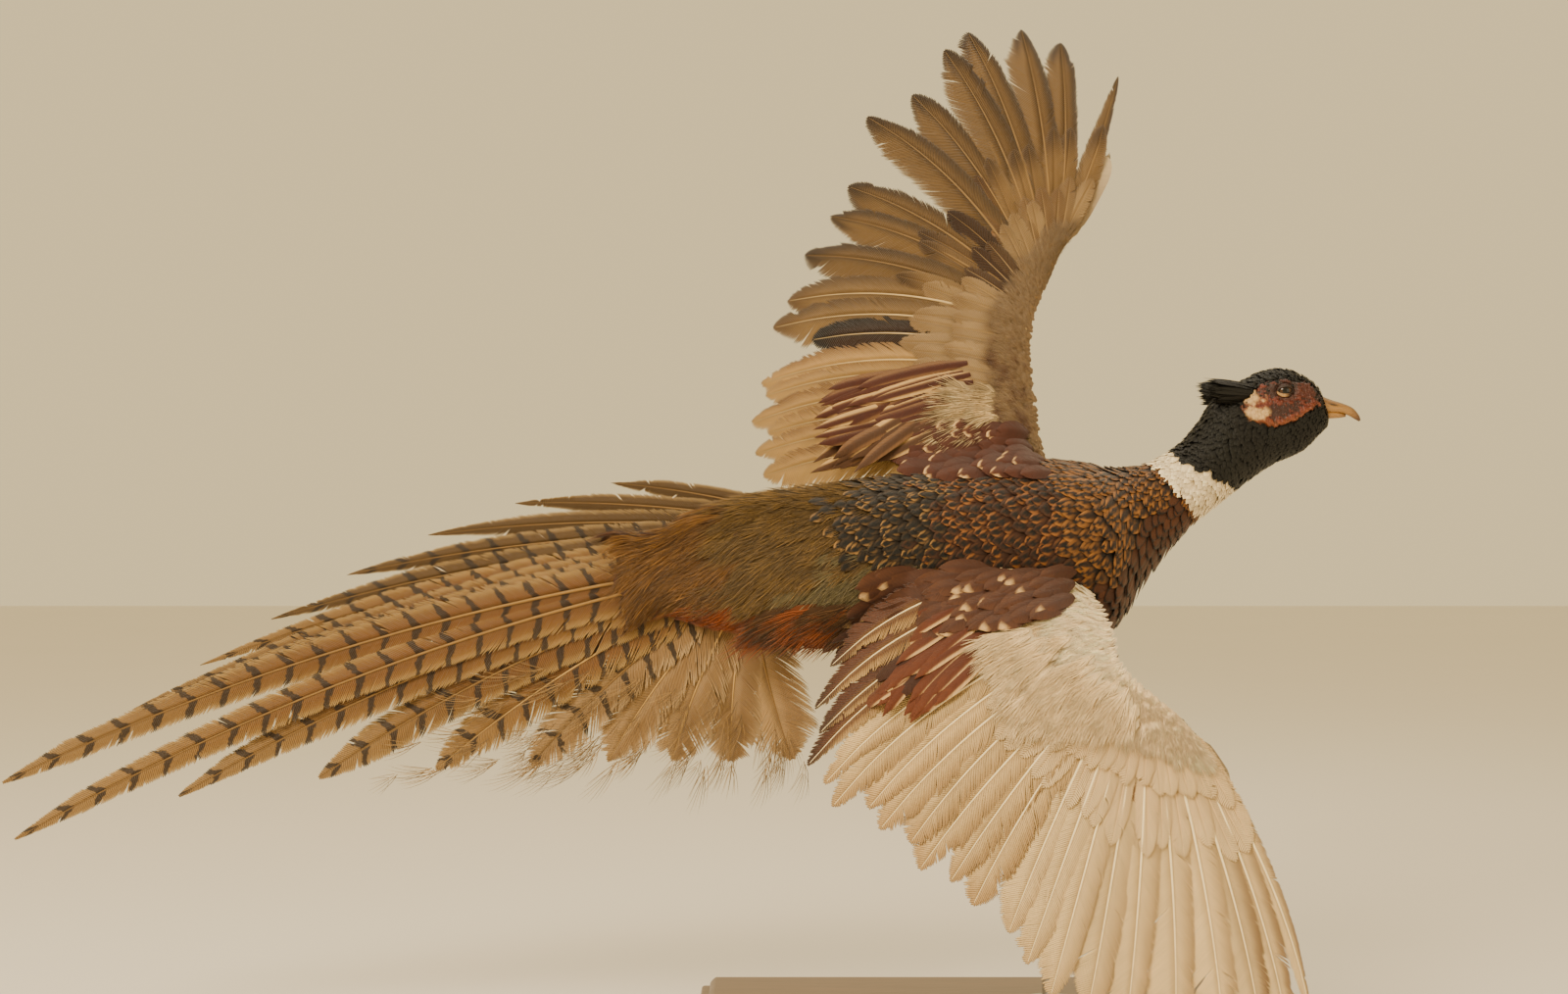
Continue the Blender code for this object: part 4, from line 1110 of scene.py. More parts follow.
flightLooks = {
    # places along the wing of the secondaries, their lengths, and how worn the feathers are
    "wing_left": {"places": (0.1, 1.2, 2.4, 3.7, 5.0, 6.2, 8.2, 9.5, 10.8), "worn": 0.5,
                  "lengths": (1.0, 1.02, 0.97, 1.03, 0.99, 1.02, 0.85, 1.03, 1.0), "half": 0.0175},
    "wing_right": {"places": (0.0, 1.1, 2.3, 3.1, 4.3, 5.2, 6.4, 7.3, 8.4, 9.3, 10.4, 11.3), "worn": 1.0,
                   "lengths": (0.97, 1.0, 0.95, 1.0, 0.97, 1.01, 0.96, 1.0, 0.97, 1.02, 0.98, 1.0),
                   "half": 0.0172},
}


def flightColours(name, place):
    # ground, outer edge and tip of a flight feather by its place along the wing
    primary = place >= secondaryCount
    if name == "wing_left":
        if primary:
            return shade(130, 106, 70), shade(72, 54, 34), shade(66, 49, 30)
        if 7.5 < place < 9.0:
            return shade(66, 44, 26), shade(28, 18, 12), shade(24, 15, 10)
        if place < 6.5:
            return shade(190, 160, 110), shade(138, 106, 66), shade(182, 152, 102)
        return shade(152, 126, 86), shade(96, 75, 48), shade(110, 87, 57)
    if primary:
        edge = shade(156, 126, 92) if place > lastFeather - 2.5 else shade(204, 178, 138)
        return shade(228, 206, 164), edge, shade(212, 186, 144)
    if place < 4.0:
        return shade(104, 66, 42), shade(206, 176, 128), shade(84, 58, 36)
    return shade(222, 198, 154), shade(180, 150, 108), shade(198, 168, 124)


def wingPaint(name, place):
    def paint(share, along, quill, turn):
        own = turn.uniform(-1, 1)
        ground, edge, tips = flightColours(name, place)
        outer = np.clip(share * wingShapes[name]["outward"], 0, 1)
        inner = np.clip(-share * wingShapes[name]["outward"], 0, 1)
        colours = fill(ground * (1 + 0.10 * own), len(share))
        edging = smoothStep(0.10, 0.85, outer) * (0.45 + 0.45 * smoothStep(0.2, 0.9, along))
        colours = blendIn(colours, edge, edging)
        colours = blendIn(colours, np.clip(ground * 1.22, 0, 1), smoothStep(0.45, 1.0, inner) * 0.55)
        colours = blendIn(colours, edge, np.exp(-(share / 0.16) ** 2) * 0.30)
        wavy = along + 0.03 * np.sin(share * 9 + own * 3)
        colours = blendIn(colours, tips, smoothStep(0.86, 0.99, wavy) * 0.85)
        pale = shade(166, 138, 96) if place > 11 else shade(230, 206, 160)
        pale = pale if name == "wing_left" else shade(255, 240, 204)
        dim = 0.35 * along[:, None] if name == "wing_left" else 0.0
        return np.where(quill[:, None] > 0.5, pale * (1.0 - dim), colours)
    return paint


def wingBladeFrom(name, feather, points, half, outerShare, innerShare):
    outward = wingShapes[name]["outward"]
    outer, inner = outerShare * half, innerShare * half
    feather["plus"], feather["minus"] = (outer, inner) if outward > 0 else (inner, outer)
    feather["tilt"] = wingBlade["tilt"] * outward
    feather["length"] = lengthOf(points)
    return feather


def makeFlight(name):
    look = flightLooks[name]
    turn = np.random.default_rng(70 if name == "wing_left" else 71)
    groups = {"secondaries": [], "primaries": []}
    places = list(look["places"]) + list(range(secondaryCount, lastFeather + 1))
    for index, place in enumerate(places):
        primary = place >= secondaryCount
        out = (place - secondaryCount) / (primaryCount - 1)
        half = 0.0150 - 0.0075 * out ** 8 if primary else look["half"]
        scale = 1.0 if primary else look["lengths"][index]
        shares = np.linspace(0, scale, 7)
        nudge = turn.normal(0, 0.08 if primary else 0.16, 2)
        points, normals, _, _ = wingPoint(name, place + nudge[0] + (nudge[1] - nudge[0]) * shares, shares)
        worn = look["worn"] * (0.5 if primary else 1.0)
        if name == "wing_left" and place < 6.5:
            worn = 1.2
        feather = dict(wingBlade, vaneFrom=0.12, splits=int(turn.integers(6, 12)),
                       parting=0.0009 * worn + 0.0003, fray=0.20 * worn + 0.05, gaps=0.03 * worn, tipWear=0.22,
                       profile=bladeProfile(0.90 if out > 0.9 else (0.84 if primary else 0.80)))
        if primary and out > 0.95:
            feather["profile"] = bladeProfile(0.25, 1.4)
        if name == "wing_right" and place < 4.6:
            feather["profile"] = bladeProfile(0.45, 1.5)
        wingBladeFrom(name, feather, points, half, 0.78 if primary else 0.85, 1.30 if primary else 1.25)
        column = place - secondaryCount if primary else index
        columns = primaryCount if primary else len(look["places"])
        cell = bakeCell(column, columns)
        blade = setBlade(feather, points, normals, 600 + index + 50 * (name == "wing_left"),
                         wingPaint(name, place), cell, index * 0.37)
        groups["primaries" if primary else "secondaries"].append(blade)
    for part, blades in groups.items():
        makePiece(f"{name}_{part}_vanes", plumage["wing"], "wing_plumage", joinParts(blades), f"{name}_{part}")


makeFlight("wing_left")
makeFlight("wing_right")
print("flight feathers ready")


tailShape = {
    "axis": 199.0, "parting": 2.0, "longest": 0.466, "feathers": 18, "centre": (-0.176, 0.012, 0.297),
    "leanBack": 0.22, "droopAngle": 9.0, "halfWidth": 0.0130,
    "fans": {
        -1: {"spread": 27.0, "gather": 1.9, "shortest": 0.120, "graduation": 0.95, "broader": -0.0055,
             "root": (0.055, 0.036)},
        1: {"spread": 84.0, "gather": 2.0, "shortest": 0.092, "graduation": 2.5, "broader": 0.009,
            "root": (0.034, 0.028)},
    },
}


def tailLine(side, rank):
    fan = tailShape["fans"][side]
    outward = rank / (tailShape["feathers"] // 2 - 1)
    swing = tailShape["parting"] + fan["spread"] * outward ** fan["gather"]
    angle = math.radians(tailShape["axis"] + side * swing)
    length = fan["shortest"] + (tailShape["longest"] - fan["shortest"]) * (1 - outward) ** fan["graduation"]
    centre = np.array(tailShape["centre"])
    ahead, aside = fan["root"]
    root = centre + np.array([ahead * outward ** 2, 0.0, -side * (0.002 + aside * outward)])
    root[1] += (root[2] - centre[2]) * tailShape["leanBack"]
    tip = root + np.array([math.cos(angle), 0.0, math.sin(angle)]) * length
    tip[1] += (tip[2] - centre[2]) * tailShape["leanBack"] + 0.02
    chord = tip - root
    bend = math.tan(math.radians(tailShape["droopAngle"] * (1 - 0.4 * outward)))
    middle = (root + tip) / 2 + np.array([chord[2], -0.06 * length, -chord[0]]) * 0.5 * bend
    s = np.linspace(0, 1, 9)[:, None]
    points = root * (1 - s) ** 2 + middle * 2 * s * (1 - s) + tip * s ** 2
    return points, tailShape["halfWidth"] + fan["broader"] * outward, outward


def tailProfile(bluntness, taper):
    def profile(share):
        drawn = np.minimum(1.0 - 0.50 * share ** 2.2, taper * (1.0 - share) ** 0.75)
        blunt = np.minimum(1.0, np.sqrt(np.clip(6.0 * (1.0 - share), 0, 1)))
        return np.minimum(0.5 + 6 * share, 1.0) * (drawn + (blunt - drawn) * bluntness)
    return profile


def tailPaint(side, rank):
    def paint(share, along, quill, turn):
        own = turn.uniform(-1, 1)
        plainOnes = side > 0 and rank >= 4
        base = shade(152, 122, 74) if not plainOnes else shade(176, 148, 108)
        edge = shade(194, 166, 114) if not plainOnes else shade(216, 190, 150)
        middle = shade(128, 90, 50)
        colours = fill(base * (1 + 0.10 * own), len(share))
        if side < 0 and rank >= 4:
            colours = blendIn(colours, shade(92, 72, 42), np.full(len(share), 0.75))
        elif not plainOnes:
            colours = blendIn(colours, middle, np.exp(-((np.abs(share) - 0.25) / 0.40) ** 2)
                              * (1 - smoothStep(0.45, 0.95, along)) * 0.8)
            colours = blendIn(colours, shade(166, 138, 98), smoothStep(0.6, 1.0, along) * 0.6)
        else:
            dusky = np.exp(-((share - 0.45) / 0.35) ** 2)
            colours = blendIn(colours, shade(134, 104, 70), dusky * 0.40)
        colours = blendIn(colours, edge, smoothStep(0.66, 1.0, np.abs(share)) * 0.85)
        pale = shade(222, 188, 130) if side > 0 and rank in (3, 5, 6, 7) else shade(170, 138, 88)
        return np.where(quill[:, None] > 0.5, pale * (1.0 - 0.35 * along[:, None]), colours)
    return paint


def makeTail():
    half = tailShape["feathers"] // 2
    order = [(-1, rank) for rank in reversed(range(half))] + [(1, rank) for rank in range(half)]
    turn = np.random.default_rng(90)
    groups = {"tail_left": [], "tail_middle": [], "tail_right": []}
    for number, (side, rank) in enumerate(order):
        points, width, outward = tailLine(side, rank)
        ahead = unit(np.gradient(points, axis=0))
        lean = np.array([0.0, -1.0, tailShape["leanBack"]])
        normals = unit(lean - np.sum(ahead * lean, -1, keepdims=True) * ahead)
        points = points - normals * (0.0008 * rank)
        ragged = side > 0 and rank >= 3
        bluntness = min(1.0, 1.5 * rank / (half - 1)) * (0.0 if side < 0 else 1.0)
        feather = {
            "length": lengthOf(points), "step": 0.0013 if ragged else 0.0015, "lean": 1.05, "droop": 0.12,
            "tilt": 0.05 * side, "quill": 0.0013 - 0.0004 * outward, "splits": int(turn.integers(5, 12)),
            "parting": 0.0012, "fray": 0.30 if ragged else 0.14, "gaps": 0.06 if ragged else 0.02,
            "tipWear": 0.15,
            "plus": width * 1.12, "minus": width * 1.12, "barShift": turn.uniform(0, 1), "vaneFrom": 0.05,
            "profile": tailProfile(bluntness, 1.9 if side < 0 and rank > 0 else 3.4),
        }
        if (side > 0 and rank >= 5) or (side < 0 and rank >= 6):
            feather["barGap"] = (5.0, 5.0)      # the outermost feathers are plain
            feather["barShift"] = 0.02
        third = ("tail_left", "tail_middle", "tail_right")[number * 3 // len(order)]
        inThird = len(order) // 3
        cell = bakeCell(number % inThird, inThird)
        groups[third].append(setBlade(feather, points, normals, 300 + number, tailPaint(side, rank), cell,
                                      number * 0.37))
    for name, blades in groups.items():
        makePiece(name + "_vanes", plumage["tail"], "tail_plumage", joinParts(blades), name)


makeTail()


wispLook = {"count": 90, "ranks": (2.4, 8.2), "length": (0.022, 0.046), "width": 0.0080, "turn": (-42, -4)}


def makeWisps():
    # loose downy strands along the lower edge of the tail
    turn = np.random.default_rng(95)
    shafts = []
    for _ in range(wispLook["count"]):
        points, _, _ = tailLine(1, turn.uniform(*wispLook["ranks"]))
        share = 1.0 - 0.55 * turn.random() ** 1.6
        start = curveAt(points, share)
        ahead = unit(points[-1] - points[-3])
        bend = math.radians(turn.uniform(*wispLook["turn"]))
        length = turn.uniform(*wispLook["length"])
        s = np.linspace(0, 1, 4)[:, None]
        angle = math.atan2(ahead[2], ahead[0]) + bend * (0.4 + 0.6 * s)
        step = np.concatenate([np.cos(angle), -0.10 + 0.15 * s, np.sin(angle)], 1) * length * s
        shafts.append(start + step + np.array([0.0, turn.uniform(-0.006, 0.001), 0.0]))
    shafts = np.array(shafts)
    count = len(shafts)
    rnd = turn.random(count)
    normals = np.broadcast_to(np.array([0.0, -1.0, 0.2]), shafts.shape)
    paint = plainPaint(shade(164, 136, 92), shade(210, 184, 138), rnd)
    bakeAt = bakeSpread(rnd, turn.random(count))
    makePiece("tail_wisps", plumage["rump"], "tail_plumage",
              gatherFeathers(shapeSets["wisp"], turn.integers(0, 5, count), shafts, normals,
                             np.full(count, wispLook["width"]), paint, bakeAt, rnd))


makeWisps()
print("tail ready")


# wing coverts

def wingShafts(name, feather, root, lengths, drift, side, depth, rise, knots=4):
    # shafts that run along the wing from a share of its feathers' length; drift is in feathers per length
    _, _, _, alongWay = wingPoint(name, feather, root)
    reach = lengths / np.linalg.norm(alongWay, axis=-1)
    shares = np.linspace(0, 1, knots)
    t = root[:, None] + reach[:, None] * shares
    f = feather[:, None] + drift[:, None] * shares
    point, normal, _, _ = wingPoint(name, f, t)
    half = wingThickness(f, t) / 2
    under = half - depth[:, None] * (1 - shares) ** 1.2 + rise[:, None] * shares ** 2
    return point + normal * (side * under)[..., None], normal * side


covertTracts = {
    # root share of the wing feathers' length, length, half width, how many across, depth of the root
    "wing_left": [(0.075, 0.0200, 0.0062, 44, 0.0020), (0.055, 0.0200, 0.0060, 46, 0.0022),
                  (0.036, 0.0185, 0.0056, 50, 0.0022), (0.018, 0.0170, 0.0052, 54, 0.0020),
                  (0.002, 0.0150, 0.0048, 58, 0.0018), (-0.010, 0.0120, 0.0040, 64, 0.0012),
                  (-0.020, 0.0095, 0.0034, 72, 0.0008)],
    "wing_right": [(0.105, 0.0215, 0.0066, 42, 0.0020), (0.088, 0.0215, 0.0064, 44, 0.0022),
                   (0.071, 0.0210, 0.0062, 46, 0.0022), (0.054, 0.0200, 0.0060, 48, 0.0022),
                   (0.038, 0.0190, 0.0056, 52, 0.0022), (0.022, 0.0175, 0.0052, 56, 0.0020),
                   (0.007, 0.0160, 0.0048, 60, 0.0018), (-0.007, 0.0130, 0.0042, 66, 0.0012),
                   (-0.019, 0.0100, 0.0034, 74, 0.0008)],
    "under": [(0.06, 0.0700, 0.0100, 22, 0.0012), (0.055, 0.0420, 0.0085, 28, 0.0018),
              (0.050, 0.0200, 0.0064, 40, 0.0020), (0.028, 0.0190, 0.0058, 44, 0.0020),
              (0.008, 0.0160, 0.0050, 50, 0.0016), (-0.010, 0.0130, 0.0042, 56, 0.0010)],
}
# first and last place along the wing, how many, root share, length, half width, rise over the wing
largeCoverts = {
    "wing_left": [(-0.5, 10.9, 12, 0.060, 0.070, 0.0100, 0.0004),
                  (11.6, 21.0, 11, 0.030, 0.086, 0.0086, 0.0004),
                  (-0.5, 11.0, 14, 0.050, 0.045, 0.0086, 0.0012),
                  (11.4, 21.0, 13, 0.020, 0.050, 0.0070, 0.0012)],
    "wing_right": [(-0.5, 10.9, 14, 0.060, 0.072, 0.0088, 0.0004),
                   (11.6, 21.0, 12, 0.030, 0.080, 0.0076, 0.0004),
                   (-0.5, 11.0, 17, 0.060, 0.047, 0.0080, 0.0012),
                   (11.4, 21.0, 14, 0.020, 0.050, 0.0066, 0.0012)],
}
# dusky patches and warm patches by place: middle x and z, reach in x and z, how strong, and colour
wingPatches = {
    "wing_left": [((-0.018, 0.519), (0.024, 0.024), 0.90, shade(66, 42, 24)),
                  ((0.005, 0.513), (0.018, 0.026), 0.80, shade(74, 48, 28)),
                  ((-0.013, 0.556), (0.016, 0.014), 0.6, shade(96, 66, 38)),
                  ((0.037, 0.555), (0.034, 0.012), 0.5, shade(104, 72, 40))],
    "wing_right": [((0.078, 0.205), (0.040, 0.030), 0.20, shade(222, 192, 156))],
}


def patchIn(name, places, colours):
    for (x, z), (wide, high), strength, tint in wingPatches[name]:
        away = np.hypot((places[..., 0] - x) / wide, (places[..., 2] - z) / high)
        away = away + 0.3 * waves(places, 0.006, 17)
        mask = (1 - smoothStep(0.6, 1.2, away)) * strength
        colours = colours + (tint - colours) * mask[:, None, None]
    return colours


def covertPaint(name, side, feather, places, rnd):
    left = name == "wing_left"

    def paint(u, v, picked):
        f, own = feather[picked], rnd[picked]
        if side < 0:
            return plain(u, v, shade(176, 158, 132), shade(206, 190, 164), own)
        if left:
            tan = plain(u, v, shade(154, 132, 102), shade(190, 168, 134), own)
            dusk = np.exp(-(u / 0.30) ** 2) * smoothStep(0.3, 0.7, v) * (1 - smoothStep(0.9, 1.0, v))
            tan = blendIn(tan, shade(112, 84, 58), dusk * (0.2 + 0.6 * own)[:, None])
            fleck = (own > 0.66)[:, None] * smoothStep(0.25, 0.6, v)[None]
            tan = blendIn(tan, shade(98, 64, 44), fleck * smoothStep(10.5, 7.5, f)[:, None] * 0.75)
        else:
            tan = plain(u, v, shade(250, 232, 200), shade(255, 246, 220), own)
            fleck = (own > 0.93)[:, None] * (1 - smoothStep(0.7, 1.1, np.hypot(u / 0.45, (v - 0.9) / 0.12)))
            tan = blendIn(tan, shade(116, 78, 52), fleck * 0.8)
        return patchIn(name, places[picked], tan * (0.92 + 0.16 * own)[:, None, None])
    return paint


def coverBladePaint(name, spot, primary):
    def paint(share, along, quill, turn):
        own = turn.uniform(-1, 1)
        if name == "wing_left":
            ground = shade(144, 119, 82) if primary else shade(168, 144, 108)
            tips = shade(84, 64, 42) if primary else shade(146, 120, 84)
        else:
            ground, tips = shade(224, 200, 160), shade(230, 208, 168)
        colours = fill(ground * (1 + 0.08 * own), len(share))
        tipward = smoothStep(0.70, 0.97, along + 0.05 * share)
        colours = blendIn(colours, tips, tipward * (0.85 if primary else 0.6))
        edge = np.clip(ground * 1.2, 0, 1)
        colours = blendIn(colours, edge, smoothStep(0.6, 1.0, np.abs(share)) * 0.5)
        spots = np.broadcast_to(spot, (len(share), 3))
        colours = patchIn(name, spots, colours[:, None, :])[:, 0]
        return np.where(quill[:, None] > 0.5, edge, colours)
    return paint


coverBlade = {"step": 0.0014, "lean": 0.9, "droop": 0.10, "quill": 0.0006, "splits": 3, "parting": 0.0006,
              "fray": 0.14, "gaps": 0.03, "vaneFrom": 0.10, "relief": 0.8, "sections": 10}


def makeCoverts(name):
    turn = np.random.default_rng(140 if name == "wing_left" else 141)
    for side, label in ((1, "coverts"), (-1, "underwing")):
        parts = []
        for root, length, width, count, depth in covertTracts[name if side > 0 else "under"]:
            feather = np.linspace(-0.8, lastFeather + 0.1, count) + turn.uniform(-0.2, 0.2, count)
            hand = smoothStep(10, 14, feather)
            lengths = length * (1 - 0.12 * hand) * turn.uniform(0.85, 1.15, count)
            widths = width * (1 - 0.22 * hand) * turn.uniform(0.9, 1.1, count)
            rootShare = np.full(count, root) + turn.uniform(-0.006, 0.006, count)
            shafts, normals = wingShafts(name, feather, rootShare, lengths, turn.normal(0, 0.3, count), side,
                                         np.full(count, depth), turn.uniform(0.0008, 0.0016, count))
            rnd = turn.random(count)
            bakeAt = np.stack([0.03 + 0.94 * (feather + 1) / 23, 0.06 + 0.9 * (rootShare + 0.03) / 0.15], -1)
            paint = covertPaint(name, side, feather, shafts[:, -1], rnd)
            shapes = shapeSets["underCovert" if length > 0.03 else "covert"]
            parts.append(gatherFeathers(shapes, turn.integers(0, 4, count), shafts, normals, widths, paint,
                                        bakeAt, rnd))
        makePiece(f"{name}_{label}", plumage["body"], "wing_plumage", joinParts(parts))
    blades = []
    rows = largeCoverts[name]
    total = sum(row[2] for row in rows)
    for first, last, count, root, length, half, rise in rows:
        for place in np.linspace(first, last, count):
            own = np.array([place + turn.uniform(-0.2, 0.2)])
            primary = place > 11.5
            reach = np.array([length * turn.uniform(0.93, 1.07)])
            shafts, normals = wingShafts(name, own, np.array([root]), reach, turn.normal(0, 0.25, 1), 1,
                                         np.array([0.0022]), np.array([rise]), knots=5)
            feather = dict(coverBlade, profile=bladeProfile(0.70))
            wingBladeFrom(name, feather, shafts[0], half, 0.9, 1.1)
            cell = bakeCell(len(blades), total, margin=0.0015)
            paint = coverBladePaint(name, shafts[0, -1], primary and rise < 0.001)
            blades.append(setBlade(feather, shafts[0], normals[0], 2000 + len(blades), paint, cell,
                                   len(blades) * 0.31))
    makePiece(name + "_large_coverts", plumage["wing"], "wing_plumage", joinParts(blades))


makeCoverts("wing_left")
makeCoverts("wing_right")
print("coverts ready")


# scapulars, tertials and down, laid over the body and the wing roots together

frontGrid = {"cell": 0.003, "x": (-0.30, 0.16), "z": (0.18, 0.54), "spread": 10, "smooth": 4}


def makeFrontMap():
    # how far forward body and wings reach, seen from the bird's back
    cell = frontGrid["cell"]
    size = [int((high - low) / cell) + 1 for low, high in (frontGrid["x"], frontGrid["z"])]
    depth = np.full(size, np.inf)
    station, theta = np.meshgrid(np.arange(0, 13, 0.04), np.arange(-90, 230, 1.0))
    samples = [coatSurface(station, theta)[0].reshape(-1, 3)]
    for name in wingShapes:
        feather, share = np.meshgrid(np.arange(-0.8, 21, 0.05), np.arange(0, 0.6, 0.006))
        point, normal, _, _ = wingPoint(name, feather, share)
        over = wingThickness(feather, share) / 2 + 0.001
        samples.append((point + normal * over[..., None]).reshape(-1, 3))
    samples = np.concatenate(samples)
    i = np.round((samples[:, 0] - frontGrid["x"][0]) / cell).astype(int)
    j = np.round((samples[:, 2] - frontGrid["z"][0]) / cell).astype(int)
    inside = (i >= 0) & (i < size[0]) & (j >= 0) & (j < size[1])
    np.minimum.at(depth, (i[inside], j[inside]), samples[inside, 1])
    known = np.isfinite(depth)
    depth[~known] = 0.0
    for step in range(frontGrid["spread"] + frontGrid["smooth"]):      # into the empty cells, then everywhere
        total, weight = np.zeros(size), np.zeros(size)
        for dx, dz in ((1, 0), (-1, 0), (0, 1), (0, -1), (0, 0)):
            total += np.roll(depth * known, (dx, dz), (0, 1))
            weight += np.roll(known, (dx, dz), (0, 1))
        spread = total / np.maximum(weight, 1)
        depth = np.where(known & (step < frontGrid["spread"]), depth, spread)
        known = known | (weight > 0)
    return depth


frontMap = makeFrontMap()


def frontPlace(x, z):
    cell = frontGrid["cell"]

    def read(x, z):
        i = np.clip((x - frontGrid["x"][0]) / cell, 0, frontMap.shape[0] - 1.001)
        j = np.clip((z - frontGrid["z"][0]) / cell, 0, frontMap.shape[1] - 1.001)
        a, b = i.astype(int), j.astype(int)
        p, q = i - a, j - b
        return (frontMap[a, b] * (1 - p) * (1 - q) + frontMap[a + 1, b] * p * (1 - q)
                + frontMap[a, b + 1] * (1 - p) * q + frontMap[a + 1, b + 1] * p * q)
    probe, steepest = 0.004, 0.8
    rises = (read(x + probe, z) - read(x - probe, z), read(x, z + probe) - read(x, z - probe))
    slopeX, slopeZ = [np.clip(rise / (2 * probe), -steepest, steepest) for rise in rises]
    return np.stack([x, read(x, z), z], -1), unit(np.stack([slopeX, -np.ones_like(x), slopeZ], -1))


def tractPaint(kind, rnd, places):
    def paint(u, v, picked):
        own = rnd[picked]
        if kind == "scapular":
            colours = plain(u, v, shade(90, 56, 34), shade(114, 76, 46), own)
            colours = blendIn(colours, shade(74, 42, 28), np.exp(-(u / 0.25) ** 2)[None] * 0.5)
            spot = 1 - smoothStep(0.6, 1.1, np.hypot((u[None] - 0.15) / 0.55, (v[None] - 0.88) / 0.085))
            return blendIn(colours, shade(214, 184, 140), spot * (own > 0.76)[:, None] * 0.92)
        if kind == "shoulder":
            colours = plain(u, v, shade(84, 44, 22), shade(98, 54, 28), own)
            ring = np.hypot(u[None] / 0.95, (v[None] - 0.62) / 0.36)
            crescent = (1 - smoothStep(0.05, 0.11, np.abs(ring - 0.84))) * smoothStep(0.68, 0.8, v)[None]
            return blendIn(colours, shade(222, 190, 144), crescent * (own > 0.68)[:, None])
        if kind == "tertial":
            colours = plain(u, v, shade(104, 56, 26), shade(120, 70, 34), own)
            colours = blendIn(colours, shade(58, 36, 24), (own < 0.25)[:, None] * 0.7)
            edge = smoothStep(0.45, 0.75, u)[None] * (own > 0.25)[:, None]
            return blendIn(colours, shade(220, 190, 146), edge * 0.85)
        if kind == "leftTertial":
            colours = plain(u, v, shade(84, 40, 18), shade(94, 50, 24), own)
            edge = smoothStep(0.30, 0.60, np.abs(u - 0.15))[None]
            colours = blendIn(colours, shade(206, 174, 124), edge * (0.25 + 0.7 * (own > 0.35))[:, None])
            olive = (places[picked][:, 2] < 0.372)[:, None] * (1 - edge)
            return blendIn(colours, shade(96, 76, 48), olive * 0.55)
        if kind == "flank":
            rust = plain(u, v, shade(146, 88, 42), shade(184, 118, 58), own)
            return blendIn(rust, shade(104, 76, 44), (own > 0.65)[:, None])
        if kind == "patch":
            colours = plain(u, v, shade(238, 218, 182), shade(252, 238, 208), own)
            fleck = 1 - smoothStep(0.6, 1.1, np.hypot(u[None] / 0.35, (v[None] - 0.9) / 0.09))
            return blendIn(colours, shade(112, 76, 50), fleck * (own > 0.95)[:, None] * 0.85)
        return plain(u, v, shade(206, 184, 146), shade(244, 226, 190), own) * (0.8 + 0.3 * own)[:, None, None]
    return paint


frontTracts = {
    # root corners (x, z): far end and near end of the top row, then of the bottom row; heading and its change
    # from top to bottom; rows, feathers in a row, length and half width at the far and near end
    "right_scapulars": {"top": ((0.058, 0.302), (-0.052, 0.300)), "bottom": ((0.054, 0.282), (-0.060, 0.262)),
                        "heading": (186, 204), "rows": 6, "count": 13, "length": (0.026, 0.036),
                        "width": (0.0062, 0.0070), "kind": "scapular", "shape": "leaf"},
    "right_tertials": {"top": ((0.000, 0.290), (-0.060, 0.280)), "bottom": ((0.006, 0.250), (-0.034, 0.246)),
                       "heading": (203, 222), "rows": 8, "count": 6, "length": (0.056, 0.050),
                       "width": (0.0044, 0.0044), "kind": "tertial", "shape": "long"},
    "left_tertials": {"top": ((-0.002, 0.434), (-0.036, 0.428)), "bottom": ((0.004, 0.398), (-0.040, 0.388)),
                      "heading": (193, 201), "rows": 11, "count": 5, "length": (0.078, 0.070),
                      "width": (0.0052, 0.0050), "kind": "leftTertial", "shape": "long"},
    "left_shoulder": {"top": ((0.034, 0.388), (-0.030, 0.392)), "bottom": ((0.046, 0.360), (-0.036, 0.362)),
                      "heading": (176, 186), "rows": 7, "count": 10, "length": (0.020, 0.026),
                      "width": (0.0064, 0.0070), "kind": "shoulder", "shape": "leaf"},
    "left_down": {"top": ((0.014, 0.414), (-0.010, 0.412)), "bottom": ((0.016, 0.388), (-0.018, 0.386)),
                  "heading": (168, 214), "rows": 6, "count": 6, "length": (0.020, 0.030),
                  "width": (0.0080, 0.0075), "kind": "down", "shape": "hair"},
    "right_patch": {"top": ((0.060, 0.276), (0.000, 0.266)), "bottom": ((0.080, 0.222), (0.016, 0.218)),
                    "heading": (206, 244), "rows": 12, "count": 13, "length": (0.024, 0.026),
                    "width": (0.0066, 0.0072), "kind": "patch", "shape": "soft"},
    "right_flank": {"top": ((-0.070, 0.280), (-0.128, 0.276)), "bottom": ((-0.076, 0.262), (-0.132, 0.264)),
                    "heading": (200, 214), "rows": 4, "count": 10, "length": (0.036, 0.042),
                    "width": (0.0080, 0.0080), "kind": "flank", "shape": "hair"},
}


def between(ends, share):
    return ends[0] + (ends[1] - ends[0]) * share


